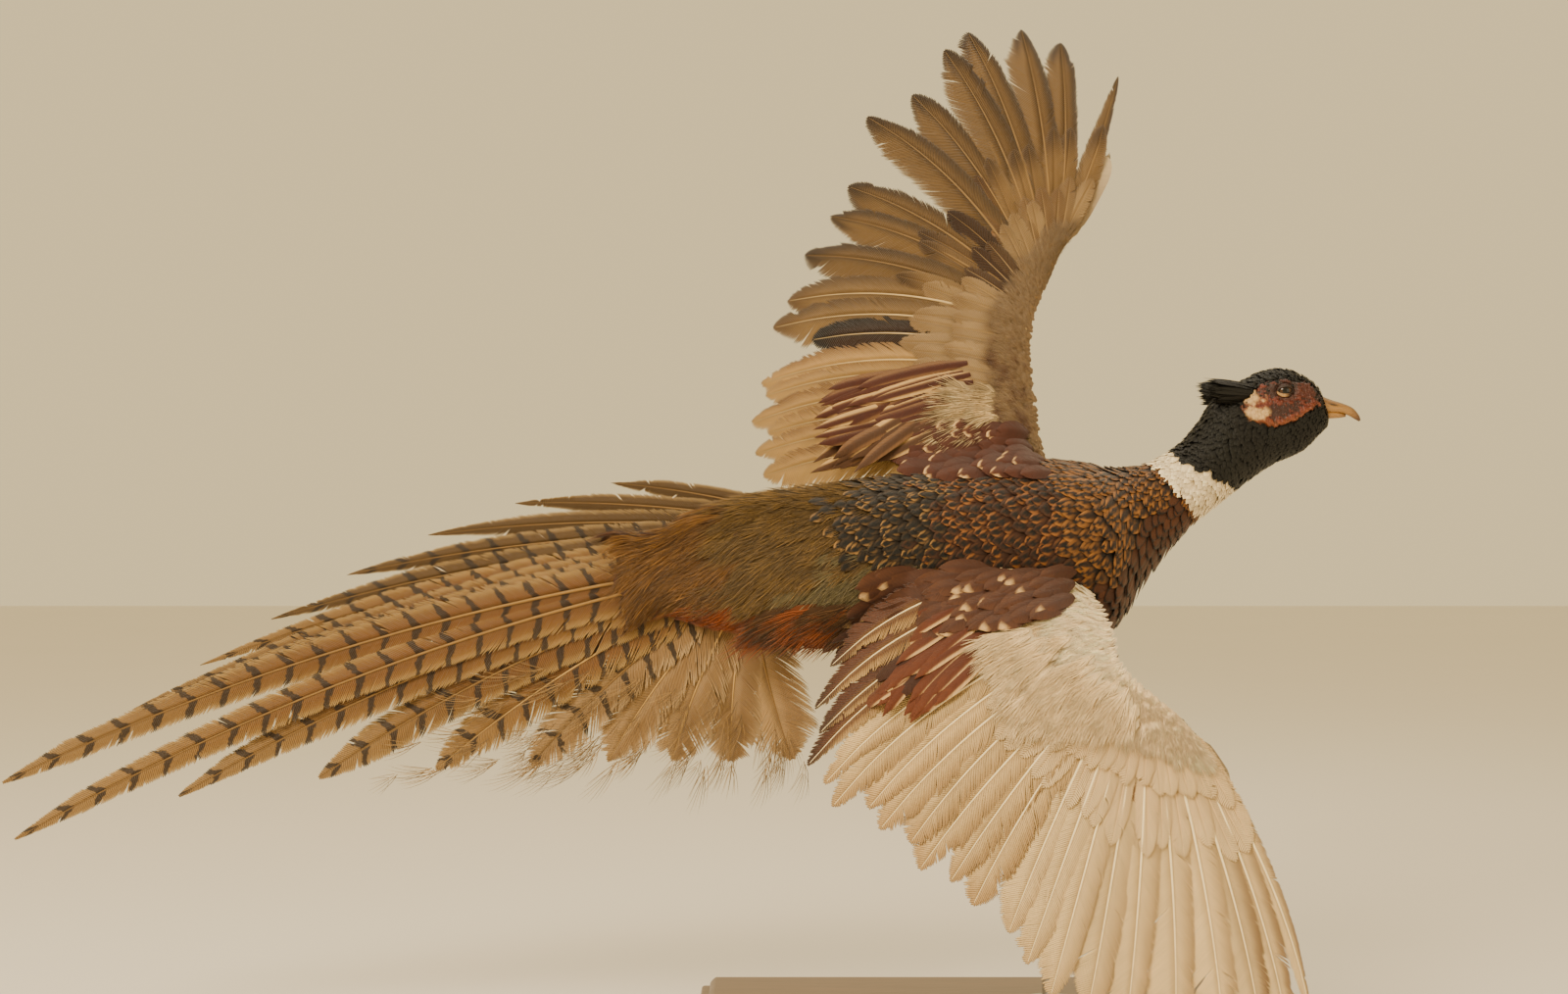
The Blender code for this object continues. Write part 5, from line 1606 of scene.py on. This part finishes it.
def makeTract(name):
    look = frontTracts[name]
    turn = np.random.default_rng(sum(map(ord, name)))
    rows, count = look["rows"], look["count"]
    down, near = np.meshgrid((np.arange(rows) + 0.5) / rows, (np.arange(count) + 0.5) / count, indexing="ij")
    near = near + (np.arange(rows) % 2)[:, None] * 0.5 / count
    down = (down + turn.normal(0, 0.25 / rows, down.shape)).ravel()
    near = (near + turn.normal(0, 0.2 / count, near.shape)).ravel()
    order = np.argsort(-near)
    down, near = down[order], near[order]
    rowEnds = [between(np.array(look[row]), near[:, None]) for row in ("top", "bottom")]
    roots = between(rowEnds, down[:, None])
    headings = between(look["heading"], down) + turn.normal(0, 4, len(down))
    lengths = between(look["length"], near) * turn.uniform(0.88, 1.12, len(down))
    widths = between(look["width"], near) * turn.uniform(0.9, 1.1, len(down))
    shares = np.linspace(0, 1, 5)
    curl = turn.normal(0, 3, len(down)) + 4
    angle = np.radians(headings[:, None] + curl[:, None] * shares)
    steps = lengths[:, None] * shares
    x = roots[:, 0, None] + np.cos(angle) * steps
    z = roots[:, 1, None] + np.sin(angle) * steps
    points, normals = frontPlace(x, z)
    if name == "right_patch":       # none starts round the wing's leading edge
        flat = points[:, 0, 1] - points[:, -1, 1] < 0.16 * lengths
        points, normals, steps = points[flat], normals[flat], steps[flat]
        lengths, widths, near, down = lengths[flat], widths[flat], near[flat], down[flat]
    # a feather bridges a hollow instead of bending down into it
    points[..., 1] = np.minimum(points[..., 1], points[:, :1, 1] + 0.45 * steps)
    points[..., 1] = np.minimum(points[..., 1], points[:, -1:, 1] + 0.45 * (lengths[:, None] - steps))
    layer = 0.0010 + 0.0016 * (1 - near)[:, None] + turn.uniform(0, 0.0008, (len(down), 1))
    lift = -0.0025 * (1 - shares) ** 2 + layer * (0.4 + 0.6 * shares)
    points = points + normals * lift[..., None]
    rnd = turn.random(len(down))
    bakeAt = bakeSpread(np.clip(near, 0, 1), np.clip(down, 0, 1))
    paint = tractPaint(look["kind"], rnd, points[:, -1])
    material = plumage["covert" if look["shape"] in ("leaf", "long") else "body"]
    makePiece("coat_" + name, material, "wing_plumage",
              gatherFeathers(shapeSets[look["shape"]], turn.integers(0, 5, len(down)), points, normals, widths,
                             paint, bakeAt, rnd))


for tractName in frontTracts:
    makeTract(tractName)
print("scapulars ready")


# eyes, lids, bill and ear tufts

def finishSelected(name, material, slot, *nodes):
    # the piece just modelled: transforms applied, smooth, with its material and its place in the frame
    piece = bpy.context.object
    piece.name = name
    bpy.ops.object.transform_apply(location=True, rotation=True, scale=True)
    piece.data.materials.clear()
    piece.data.materials.append(material)
    bpy.ops.object.shade_smooth_by_angle(angle=math.radians(35))
    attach(piece, "root")
    if nodes:
        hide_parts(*nodes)


eyeLook = {"pupil": 0.0021, "iris": 0.0037, "irisColour": (0.085, 0.034, 0.010, 1.0),
           "irisDark": (0.030, 0.012, 0.005, 1.0), "rim": (0.010, 0.006, 0.004, 1.0),
           "pupilColour": (0.003, 0.003, 0.003, 1.0)}


def makeEyes():
    material, tree, shader = newMaterial("glassEye", {
        "Roughness": 0.12, "Specular IOR Level": 0.3, "Coat Weight": 0.3, "Coat Roughness": 0.05})
    times, plus, less, _ = mathOf(tree)
    place = objectPlace(tree)
    parts = addNode(tree, "SeparateXYZ", {0: place}).outputs
    x, z = less(parts[0], face["eye"][0]), less(parts[2], face["eye"][1])
    away = addMath(tree, "SQRT", plus(times(x, x), times(z, z)))
    iris = addMix(tree, addNoise(tree, place, 1600.0), eyeLook["irisColour"], eyeLook["irisDark"])
    rim = addMix(tree, addRamp(tree, away, eyeLook["iris"] - 0.0004, eyeLook["iris"]), iris, eyeLook["rim"])
    pupil = addRamp(tree, away, eyeLook["pupil"] - 0.0002, eyeLook["pupil"] + 0.0002)
    setInputs(tree, shader, {"Base Color": addMix(tree, pupil, eyeLook["pupilColour"], rim)})
    for side, name in ((-1, "eye_right"), (1, "eye_left")):
        bpy.ops.object.select_all(action="DESELECT")
        where = (face["eye"][0], face["middle"] + side * face["eyeApart"], face["eye"][1])
        bpy.ops.mesh.primitive_uv_sphere_add(segments=56, ring_count=36, radius=face["eyeRadius"],
                                             location=where, rotation=(math.radians(90), 0, 0))
        finishSelected(name + "_glass", material, "eye", name)


lidLook = {"open": (0.84, 0.36, 0.27), "reach": (1.30, 1.10),
           "profile": [(0.0, 1.035), (0.05, 1.10), (0.12, 1.15), (0.20, 1.13), (0.28, 1.085), (0.38, 1.125),
                       (0.50, 1.115), (0.60, 1.06), (0.74, 1.05), (1.0, 0.93), (0.7, 0.90), (0.2, 0.95)]}


def makeLids():
    around = turnsOf(96)
    turns, steps = np.meshgrid(around, np.arange(len(lidLook["profile"])), indexing="ij")
    spread = np.array([p[0] for p in lidLook["profile"]])[steps]
    radius = np.array([p[1] for p in lidLook["profile"]])[steps] * face["eyeRadius"]
    across, up, down = lidLook["open"]
    tall = np.where(np.sin(turns) > 0, up, down)
    azimuth = np.cos(turns) * (across + (lidLook["reach"][0] - across) * spread)
    elevation = np.sin(turns) * (tall * (1 - 0.25 * np.cos(turns) ** 2)) * (1 - spread) \
        + np.sin(turns) * lidLook["reach"][1] * spread + 0.05 * azimuth
    radius = radius * (1 + 0.010 * np.sin(turns * 9) * np.sin(spread * 14))
    for side, name in ((-1, "eyelids_right"), (1, "eyelids_left")):
        offset = np.stack([np.sin(azimuth) * np.cos(elevation), side * np.cos(azimuth) * np.cos(elevation),
                           np.sin(elevation)], -1) * radius[..., None]
        verts = offset + np.array([face["eye"][0], face["middle"] + side * face["eyeApart"], face["eye"][1]])
        colours = fill(skinColours["brow"], *verts.shape[:-1])
        # painted highlight on the lower rear of the lid
        low = smoothStep(0.15, -0.35, np.sin(turns)) * smoothStep(0.6, -0.2, np.cos(turns))
        pale = low * smoothStep(0.02, 0.10, spread) * (1 - smoothStep(0.45, 0.62, spread))
        colours = blendIn(colours, skinColours["lid"], pale * 0.9)
        colours = blendIn(colours, shade(26, 16, 11), 1 - smoothStep(0.02, 0.08, spread))
        colours = blendIn(colours, skinColours["wattle"], smoothStep(0.5, 0.8, spread) * 0.6)
        rows, columns = turns.shape
        grid = gridTris(columns, rows, closed=True)
        order = np.arange(rows * columns).reshape(rows, columns).T.ravel()
        tris = order[grid]
        first = np.arange(rows) * columns
        last = first + columns - 1
        seam = np.concatenate([np.stack([last, np.roll(last, -1), np.roll(first, -1)], -1),
                               np.stack([last, np.roll(first, -1), first], -1)])
        tris = np.concatenate([tris, seam])
        if side > 0:
            tris = tris[:, ::-1]
        flat = np.stack([turns / 7, spread], -1).reshape(-1, 2) * 0.9
        makePiece(name, skinMaterial, "head_plumage",
                  [verts.reshape(-1, 3), tris, colours.reshape(-1, 3), flat])


billShape = {
    "bill_upper": [(0.2070, 0.4036, 0.0057, 0.0054), (0.2157, 0.4016, 0.0047, 0.0041),
                   (0.2236, 0.4003, 0.0036, 0.0030), (0.2291, 0.3983, 0.0026, 0.0026),
                   (0.2330, 0.3951, 0.0016, 0.0018), (0.2352, 0.3926, 0.0006, 0.0007)],
    "bill_lower": [(0.2070, 0.3957, 0.0049, 0.0020), (0.2157, 0.3955, 0.0040, 0.0014),
                   (0.2225, 0.3955, 0.0027, 0.0010), (0.2262, 0.3955, 0.0010, 0.0005)],
}


def closeTube(verts, colours, ends):
    # rings of points as one closed tube: its points, triangles, colours and map
    rings, sides = verts.shape[:2]
    turn = turnsOf(sides)
    flat = np.stack(np.broadcast_arrays(turn[None] / 6.4, np.linspace(0, 1, rings)[:, None]), -1)
    return [np.concatenate([verts.reshape(-1, 3), ends]), tubeTris(rings, sides),
            np.concatenate([colours.reshape(-1, 3), colours[0, :1], colours[-1, :1]]),
            np.concatenate([flat.reshape(-1, 2), [[0.5, 0.0], [0.5, 1.0]]])]


def makeBill():
    material, tree, shader = newMaterial("horn", {
        "Roughness": 0.34, "Coat Weight": 0.25, "Coat Roughness": 0.3})
    lines = addNoise(tree, objectPlace(tree, (420, 90, 1500)), 1.0, 4.0)
    darken(tree, shader, addRamp(tree, lines, 0.45, 0.75), 0.45, (0.10, 0.05, 0.02))
    addBump(tree, shader, lines, 0.0003)
    sides, rings = 40, 70
    for name, line in billShape.items():
        line = np.array(line)
        s = np.linspace(0, 1, rings)
        rows = curveAt(line, s)
        ahead = unit(curveAt(line[:, :2], s + 0.01) - curveAt(line[:, :2], s - 0.01))
        turn = turnsOf(sides)
        upper = name == "bill_upper"
        cos, sin = np.cos(turn)[None], np.sin(turn)[None]
        wide = rows[:, 2, None] * np.sign(cos) * np.abs(cos) ** 0.8
        if upper:
            ridge = 1 + 0.06 * np.exp(-((turn - math.pi / 2) / 0.30) ** 2)[None]
            tall = rows[:, 3, None] * np.where(sin > 0, sin * ridge, -np.abs(sin) ** 0.5 * 1.06)
            wide = wide * (1 - 0.25 * np.clip(sin, 0, 1) ** 2)
            # a slit nostril under a soft flap on each side
            flank = np.minimum(np.abs(turn - 0.62), np.abs(turn - (math.pi - 0.62)))[None]
            flap = np.exp(-((flank - 0.05) / 0.34) ** 2) * np.exp(-((s[:, None] - 0.17) / 0.15) ** 2)
            low = np.minimum(np.abs(turn - 0.30), np.abs(turn - (math.pi - 0.30)))[None]
            slit = np.exp(-(low / 0.13) ** 2) * np.exp(-((s[:, None] - 0.25) / 0.07) ** 2)
            swell = 1 + 0.12 * flap - 0.30 * slit
            wide, tall = wide * swell, tall * (1 + 0.06 * flap)
        else:
            slit, flap = np.zeros((rings, 1)), np.zeros((rings, 1))
            tall = rows[:, 3, None] * np.where(sin > 0, np.abs(sin) ** 0.5 * 2.2, sin * 1.25)
        x = rows[:, 0, None] - ahead[:, 1, None] * tall
        z = rows[:, 1, None] + ahead[:, 0, None] * tall
        y = face["middle"] - 0.002 + wide
        verts = np.stack([x, y, z], -1)
        colours = fill(shade(176, 138, 84), rings, sides)
        tipward = smoothStep(0.50, 1.0, s)[:, None]
        colours = blendIn(colours, shade(88, 56, 32), tipward * (0.95 if upper else 0.5))
        colours = blendIn(colours, shade(104, 72, 42), np.clip(sin, 0, 1) ** 2 * 0.75 * upper)
        colours = blendIn(colours, shade(150, 112, 74), np.clip(flap, 0, 1) * 0.5)
        colours = blendIn(colours, shade(30, 18, 12), np.clip(slit * 1.3, 0, 1))
        arrays = closeTube(verts, colours, endMiddles(verts))
        arrays[3] *= 0.95
        makePiece(name + "_horn", material, "bill", arrays, name)


tuftLook = {"count": 260, "root": (0.1715, 0.0105, 0.4090), "tip": (0.1392, 0.0165, 0.4108), "middle": -0.018,
            "rootRadius": 0.0034, "tipRadius": 0.0072, "width": (0.0009, 0.0014)}


def makeEarTufts():
    for side, name in ((1, "ear_tuft_left"), (-1, "ear_tuft_right")):
        turn = np.random.default_rng(250 + side)
        count = tuftLook["count"]
        root, tip = [np.array([x, tuftLook["middle"] + side * apart, z])
                     for x, apart, z in (tuftLook["root"], tuftLook["tip"])]
        swing = turn.uniform(0, 2 * math.pi, count)
        wide = np.sqrt(turn.random(count))
        disc = np.stack([np.zeros(count), 0.62 * np.cos(swing), np.sin(swing)], -1) * wide[:, None]
        starts = root + disc * tuftLook["rootRadius"] + turn.normal(0, 0.0006, (count, 3))
        ends = tip + disc * tuftLook["tipRadius"] + turn.normal(0, 0.0007, (count, 3))
        ends[:, 0] += turn.uniform(-0.0012, 0.0050, count) - 0.28 * disc[:, 2] * tuftLook["tipRadius"]
        shares = np.linspace(0, 1, 4)[:, None]
        shafts = starts[:, None] * (1 - shares) + ends[:, None] * shares
        shafts += disc[:, None] * 0.0012 * np.sin(shares * math.pi)
        normals = unit(disc + np.array([0, -0.2, 0.1]))[:, None] * np.ones((1, 4, 1))
        rnd = turn.random(count)
        paint = plainPaint(shade(16, 13, 10), shade(30, 27, 20), rnd)
        bakeAt = np.stack([0.05 + 0.9 * swing / 6.3, 0.05 + 0.9 * wide], -1)
        makePiece(name + "_feathers", plumage["black"], "head_plumage",
                  gatherFeathers(shapeSets["tuft"], turn.integers(0, 4, count), shafts, normals,
                                 turn.uniform(*tuftLook["width"], count), paint, bakeAt, rnd), name)


makeEyes()
makeLids()
makeBill()
makeEarTufts()
print("head ready")


# legs and claws

legShape = {
    "heel": (-0.075, 0.034, 0.284), "apart": (0.0, 0.012, 0.016), "run": (-0.074, 0.010, -0.030),
    "toes": ((-0.46, 0.036), (0.0, 0.044), (0.46, 0.034)), "across": (0.15, 0.55, 0.80),
    "shank": ((0.0, 0.0052), (0.12, 0.0048), (0.55, 0.0034), (0.95, 0.0040), (1.0, 0.0036)),
}


def heelOf(side):
    return np.array([place + apart * side for place, apart in zip(legShape["heel"], legShape["apart"])])


def tubeOf(points, radii, rings, sides, scute):
    # a tube along a curve, ringed with overlapping plates in front and small scales behind
    s = np.linspace(0, 1, rings)
    centre = curveAt(points, s)
    ahead = unit(curveAt(points, s + 0.01) - curveAt(points, s - 0.01))
    aside = unit(np.cross(ahead, np.array([0.0, -0.8, 0.6])))
    front = np.cross(ahead, aside)
    radius = curveAt(np.array(radii)[:, None], s)[:, 0]
    metres = distanceAlong(centre)
    turn = turnsOf(sides)
    plate = (metres / scute) % 1.0
    fore = smoothStep(-0.1, 0.5, np.sin(turn))[None]
    small = np.abs(np.sin(metres[:, None] / scute * 5 + (turn[None] * 3) % 2) * np.sin(turn[None] * 7))
    relief = 1 + 0.10 * (plate[:, None] - 0.6) * fore + 0.05 * (small - 0.5) * (1 - fore)
    ring = aside[:, None] * np.cos(turn)[None, :, None] + front[:, None] * np.sin(turn)[None, :, None]
    verts = centre[:, None] + ring * (radius[:, None] * relief)[..., None]
    groove = (1 - smoothStep(0.0, 0.22, plate))[:, None] * fore
    groove = groove + (1 - smoothStep(0.1, 0.5, small)) * (1 - fore)
    colours = fill(shade(150, 136, 116), *verts.shape[:-1])
    colours = blendIn(colours, shade(84, 70, 56), groove * 0.7)
    colours = blendIn(colours, shade(176, 158, 130), smoothStep(0.4, 1.0, plate)[:, None] * fore * 0.5)
    return closeTube(verts, colours, np.stack([centre[0], centre[-1]]))


def makeLegs():
    scaly, tree, shader = newMaterial("legScales", {})
    grain = addNoise(tree, objectPlace(tree), 1400.0)
    darken(tree, shader, grain, 0.4, (0.12, 0.09, 0.06))
    addBump(tree, shader, grain, 0.0003)
    horn, tree, shader = newMaterial("clawHorn", {"Roughness": 0.3})
    streak = addNoise(tree, objectPlace(tree), 700.0)
    setInputs(tree, shader, {"Base Color": addMix(tree, streak, (0.030, 0.020, 0.014, 1.0),
                                                  (0.085, 0.060, 0.040, 1.0))})
    across = unit(np.array(legShape["across"]))
    for side, name in ((1, "leg_left"), (-1, "leg_right")):
        heel = heelOf(side)
        ankle = heel + legShape["run"]
        back = unit(ankle - heel)
        shares = np.linspace(0, 1, 5)[:, None]
        stops = np.array(legShape["shank"])
        radii = np.interp(shares[:, 0], stops[:, 0], stops[:, 1])
        parts = [tubeOf(heel + (ankle - heel) * shares, radii, 120, 20, 0.0030)]
        claws = []

        def addToe(points, radii, claw):
            points = np.array(points)
            parts.append(tubeOf(points, radii, 50, 14, 0.0022))
            way = unit(points[-1] - points[-2])
            curl = np.array([0.0, 0.6, -0.5]) * claw
            tips = [points[-1] - way * 0.004, points[-1] + way * claw * 0.2 + curl * 0.08,
                    points[-1] + way * claw * 0.45 + curl * 0.42]
            claws.append(tubeOf(np.array(tips), (0.0014, 0.0011, 0.0002), 24, 12, 0.02))

        for number, (lean, length) in enumerate(legShape["toes"]):
            way = unit(back + across * lean) * length
            start = ankle - back * (0.001 + 0.0012 * number)
            addToe([start, ankle + way * 0.5, ankle + way * 0.85, ankle + way + np.array([0.0, 0.004, -0.002])],
                   (0.0030, 0.0024, 0.0020, 0.0010), 0.011)
        hind = heel + (ankle - heel) * 0.90
        addToe([hind, hind + np.array([-0.004, 0.010, -0.003]), hind + np.array([-0.010, 0.017, -0.004])],
               (0.0024, 0.0018, 0.0009), 0.008)
        spur = heel + (ankle - heel) * 0.68
        spurLine = spur + np.array([(0.0, 0.0, 0.0), (0.0, 0.008, -0.001), (-0.003, 0.013, -0.001)])
        claws.append(tubeOf(spurLine, (0.0024, 0.0016, 0.0003), 24, 12, 0.02))
        makePiece(name + "_scales", scaly, "leg", joinParts(parts), name)
        makePiece(name + "_claws", horn, "leg", joinParts(claws))


thighLook = {"count": 170, "begin": (-0.026, 0.004), "length": (0.015, 0.021), "width": (0.0030, 0.0042),
             "girth": ((-0.03, -0.005, 0.010, 0.022), (0.0125, 0.0100, 0.0068, 0.0056))}


def makeThighs():
    # short feathers over each heel, so that the leg grows out of the coat
    parts = []
    for side in (1, -1):
        turn = np.random.default_rng(275 + side)
        heel = heelOf(side)
        back = unit(np.array(legShape["run"]))
        aside = unit(np.cross(back, [0.0, 1.0, 0.3]))
        other = np.cross(back, aside)
        count = thighLook["count"]
        swing = turn.uniform(0, 2 * math.pi, count)
        ring = aside * np.cos(swing)[:, None] + other * np.sin(swing)[:, None]
        begin = turn.uniform(*thighLook["begin"], count)
        length = turn.uniform(*thighLook["length"], count)
        s = np.linspace(0, 1, 4)
        at = begin[:, None] + length[:, None] * s
        girth = np.interp(at, *thighLook["girth"]) + 0.0012 * s ** 2
        shafts = heel + back * at[..., None] + ring[:, None] * girth[..., None]
        normals = np.broadcast_to(ring[:, None], shafts.shape)
        rnd = turn.random(count)
        paint = plainPaint(shade(58, 40, 26), shade(96, 68, 42), rnd)
        bakeAt = np.stack([0.25 + 0.22 * side + 0.2 * swing / 6.3, 0.1 + 0.8 * (begin + 0.026) / 0.03], -1)
        parts.append(gatherFeathers(shapeSets["thigh"], turn.integers(0, 4, count), shafts, normals,
                                    turn.uniform(*thighLook["width"], count), paint, bakeAt, rnd))
    makePiece("coat_thighs", plumage["body"], "body_plumage", joinParts(parts))


makeLegs()
makeThighs()
print("legs ready")


# the display stand

standShape = {"size": (0.36, 0.23, 0.020), "step": 0.0125, "inset": 0.012, "rod": (0.045, 0.006),
              "flangeTop": 0.0264, "screwRing": 0.0122, "screwRadius": 0.0021}


def bevelEdges(piece, width, segments, profile):
    bevel = piece.modifiers.new("edge", "BEVEL")
    bevel.width, bevel.segments, bevel.profile = width, segments, profile
    bpy.ops.object.modifier_apply(modifier=bevel.name)


def makeStand():
    wood, tree, shader = newMaterial("stainedWood", {
        "Roughness": 0.4, "Coat Weight": 0.35, "Coat Roughness": 0.25})
    place = objectPlace(tree, (4, 110, 110))
    figure = addNoise(tree, place, 1.0, 5.0, 0.6, 1.2)
    pores = addRamp(tree, addNoise(tree, place, 6.0, 2.0), 0.56, 0.70)
    grain = addMix(tree, figure, (0.055, 0.022, 0.010, 1.0), (0.200, 0.090, 0.038, 1.0))
    darken(tree, shader, pores, 0.35, (0.030, 0.012, 0.006), grain)
    addBump(tree, shader, pores, -0.00005)
    wide, deep, high = standShape["size"]
    step, inset = standShape["step"], standShape["inset"]
    bpy.ops.object.select_all(action="DESELECT")
    slabs = ((wide, deep, 0.0, step, 0.0020, 3), (wide - inset, deep - inset, step - 0.001, high, 0.0055, 8))
    made = []
    for sizeX, sizeY, low, top, width, segments in slabs:
        bpy.ops.mesh.primitive_cube_add(size=1, location=(0, 0, (low + top) / 2))
        slab = bpy.context.object
        slab.scale = (sizeX, sizeY, top - low)
        bpy.ops.object.transform_apply(location=True, rotation=True, scale=True)
        bevelEdges(slab, width, segments, 0.35 if segments > 3 else 0.5)
        made.append(slab)
    for slab in made:
        slab.select_set(True)
    bpy.context.view_layer.objects.active = made[0]
    bpy.ops.object.join()
    finishSelected("stand_base_wood", wood, "stand_wood", "stand_base")

    steel, tree, shader = newMaterial("brushedSteel", {"Metallic": 1.0})
    times, plus, _, _ = mathOf(tree)
    brushed = addNoise(tree, objectPlace(tree, (300, 300, 4000)), 1.0)
    setInputs(tree, shader, {
        "Base Color": addMix(tree, brushed, (0.36, 0.35, 0.33, 1.0), (0.52, 0.50, 0.47, 1.0)),
        "Roughness": plus(times(brushed, 0.2), 0.26)})
    for name in ("stand_flange", "stand_rod"):
        node = bpy.data.objects[name]
        node.data.materials.clear()
        node.data.materials.append(steel)
    for k in range(3):
        bpy.ops.object.select_all(action="DESELECT")
        turn = math.radians(120 * k + 30)
        where = (standShape["rod"][0] + standShape["screwRing"] * math.cos(turn),
                 standShape["rod"][1] + standShape["screwRing"] * math.sin(turn),
                 standShape["flangeTop"] + 0.0005)
        bpy.ops.mesh.primitive_cylinder_add(vertices=32, radius=standShape["screwRadius"], depth=0.0012,
                                            location=where)
        head = bpy.context.object
        bevelEdges(head, 0.0003, 3, 0.5)
        bpy.ops.mesh.primitive_cube_add(size=1, location=(where[0], where[1], where[2] + 0.0006),
                                        rotation=(0, 0, 0.7 * k))
        slot = bpy.context.object
        slot.scale = (0.006, 0.0005, 0.0006)
        bpy.context.view_layer.objects.active = head
        groove = head.modifiers.new("slot", "BOOLEAN")
        groove.operation = "DIFFERENCE"
        groove.object = slot
        bpy.ops.object.select_all(action="DESELECT")
        head.select_set(True)
        bpy.ops.object.modifier_apply(modifier=groove.name)
        bpy.data.objects.remove(slot)
        finishSelected(f"stand_screw_{k}", steel, "stand_steel")


makeStand()
print("stand ready")


# floor, light and camera

def makeStage():
    bpy.ops.object.select_all(action="DESELECT")
    bpy.ops.mesh.primitive_plane_add(size=12, location=(0, 0, 0))
    floor = bpy.context.object
    floor.name = "floor"
    material, tree, shader = newMaterial("paleFloor", {"Roughness": 0.6})
    cloud = addNoise(tree, objectPlace(tree), 2.0)
    setInputs(tree, shader, {
        "Base Color": addMix(tree, cloud, (0.80, 0.75, 0.66, 1.0), (0.83, 0.78, 0.69, 1.0))})
    floor.data.materials.append(material)
    world = bpy.data.worlds.new("studio")
    bpy.context.scene.world = world
    world.use_nodes = True
    back = world.node_tree.nodes["Background"]
    back.inputs[0].default_value = (1.0, 0.77, 0.40, 1.0)
    back.inputs[1].default_value = 1.0
    lamps = {
        "keyLight": ((-1.2, -1.5, 1.5), 0.9, 52, (1.0, 0.88, 0.68)),
        "fillLight": ((1.5, -1.6, 0.5), 1.4, 8, (1.0, 0.90, 0.72)),
        "topLight": ((0.2, 0.5, 1.9), 1.2, 14, (1.0, 0.93, 0.82)),
    }
    for name, (place, size, power, colour) in lamps.items():
        data = bpy.data.lights.new(name, "AREA")
        data.size = size
        data.energy = power
        data.color = colour
        lamp = bpy.data.objects.new(name, data)
        lamp.location = place
        aim = np.array([-0.1, 0, 0.33]) - np.array(place)
        lamp.rotation_euler = Vector(aim).to_track_quat("-Z", "Y").to_euler()
        bpy.context.scene.collection.objects.link(lamp)
    data = bpy.data.cameras.new("camera")
    data.lens = 54.4
    data.sensor_width = 36
    data.dof.use_dof = False
    camera = bpy.data.objects.new("camera", data)
    camera.location = (-0.124, -1.5, 0.345)
    camera.rotation_euler = (math.radians(90), 0, 0)
    bpy.context.scene.collection.objects.link(camera)
    bpy.context.scene.camera = camera


makeStage()
print("stage ready")
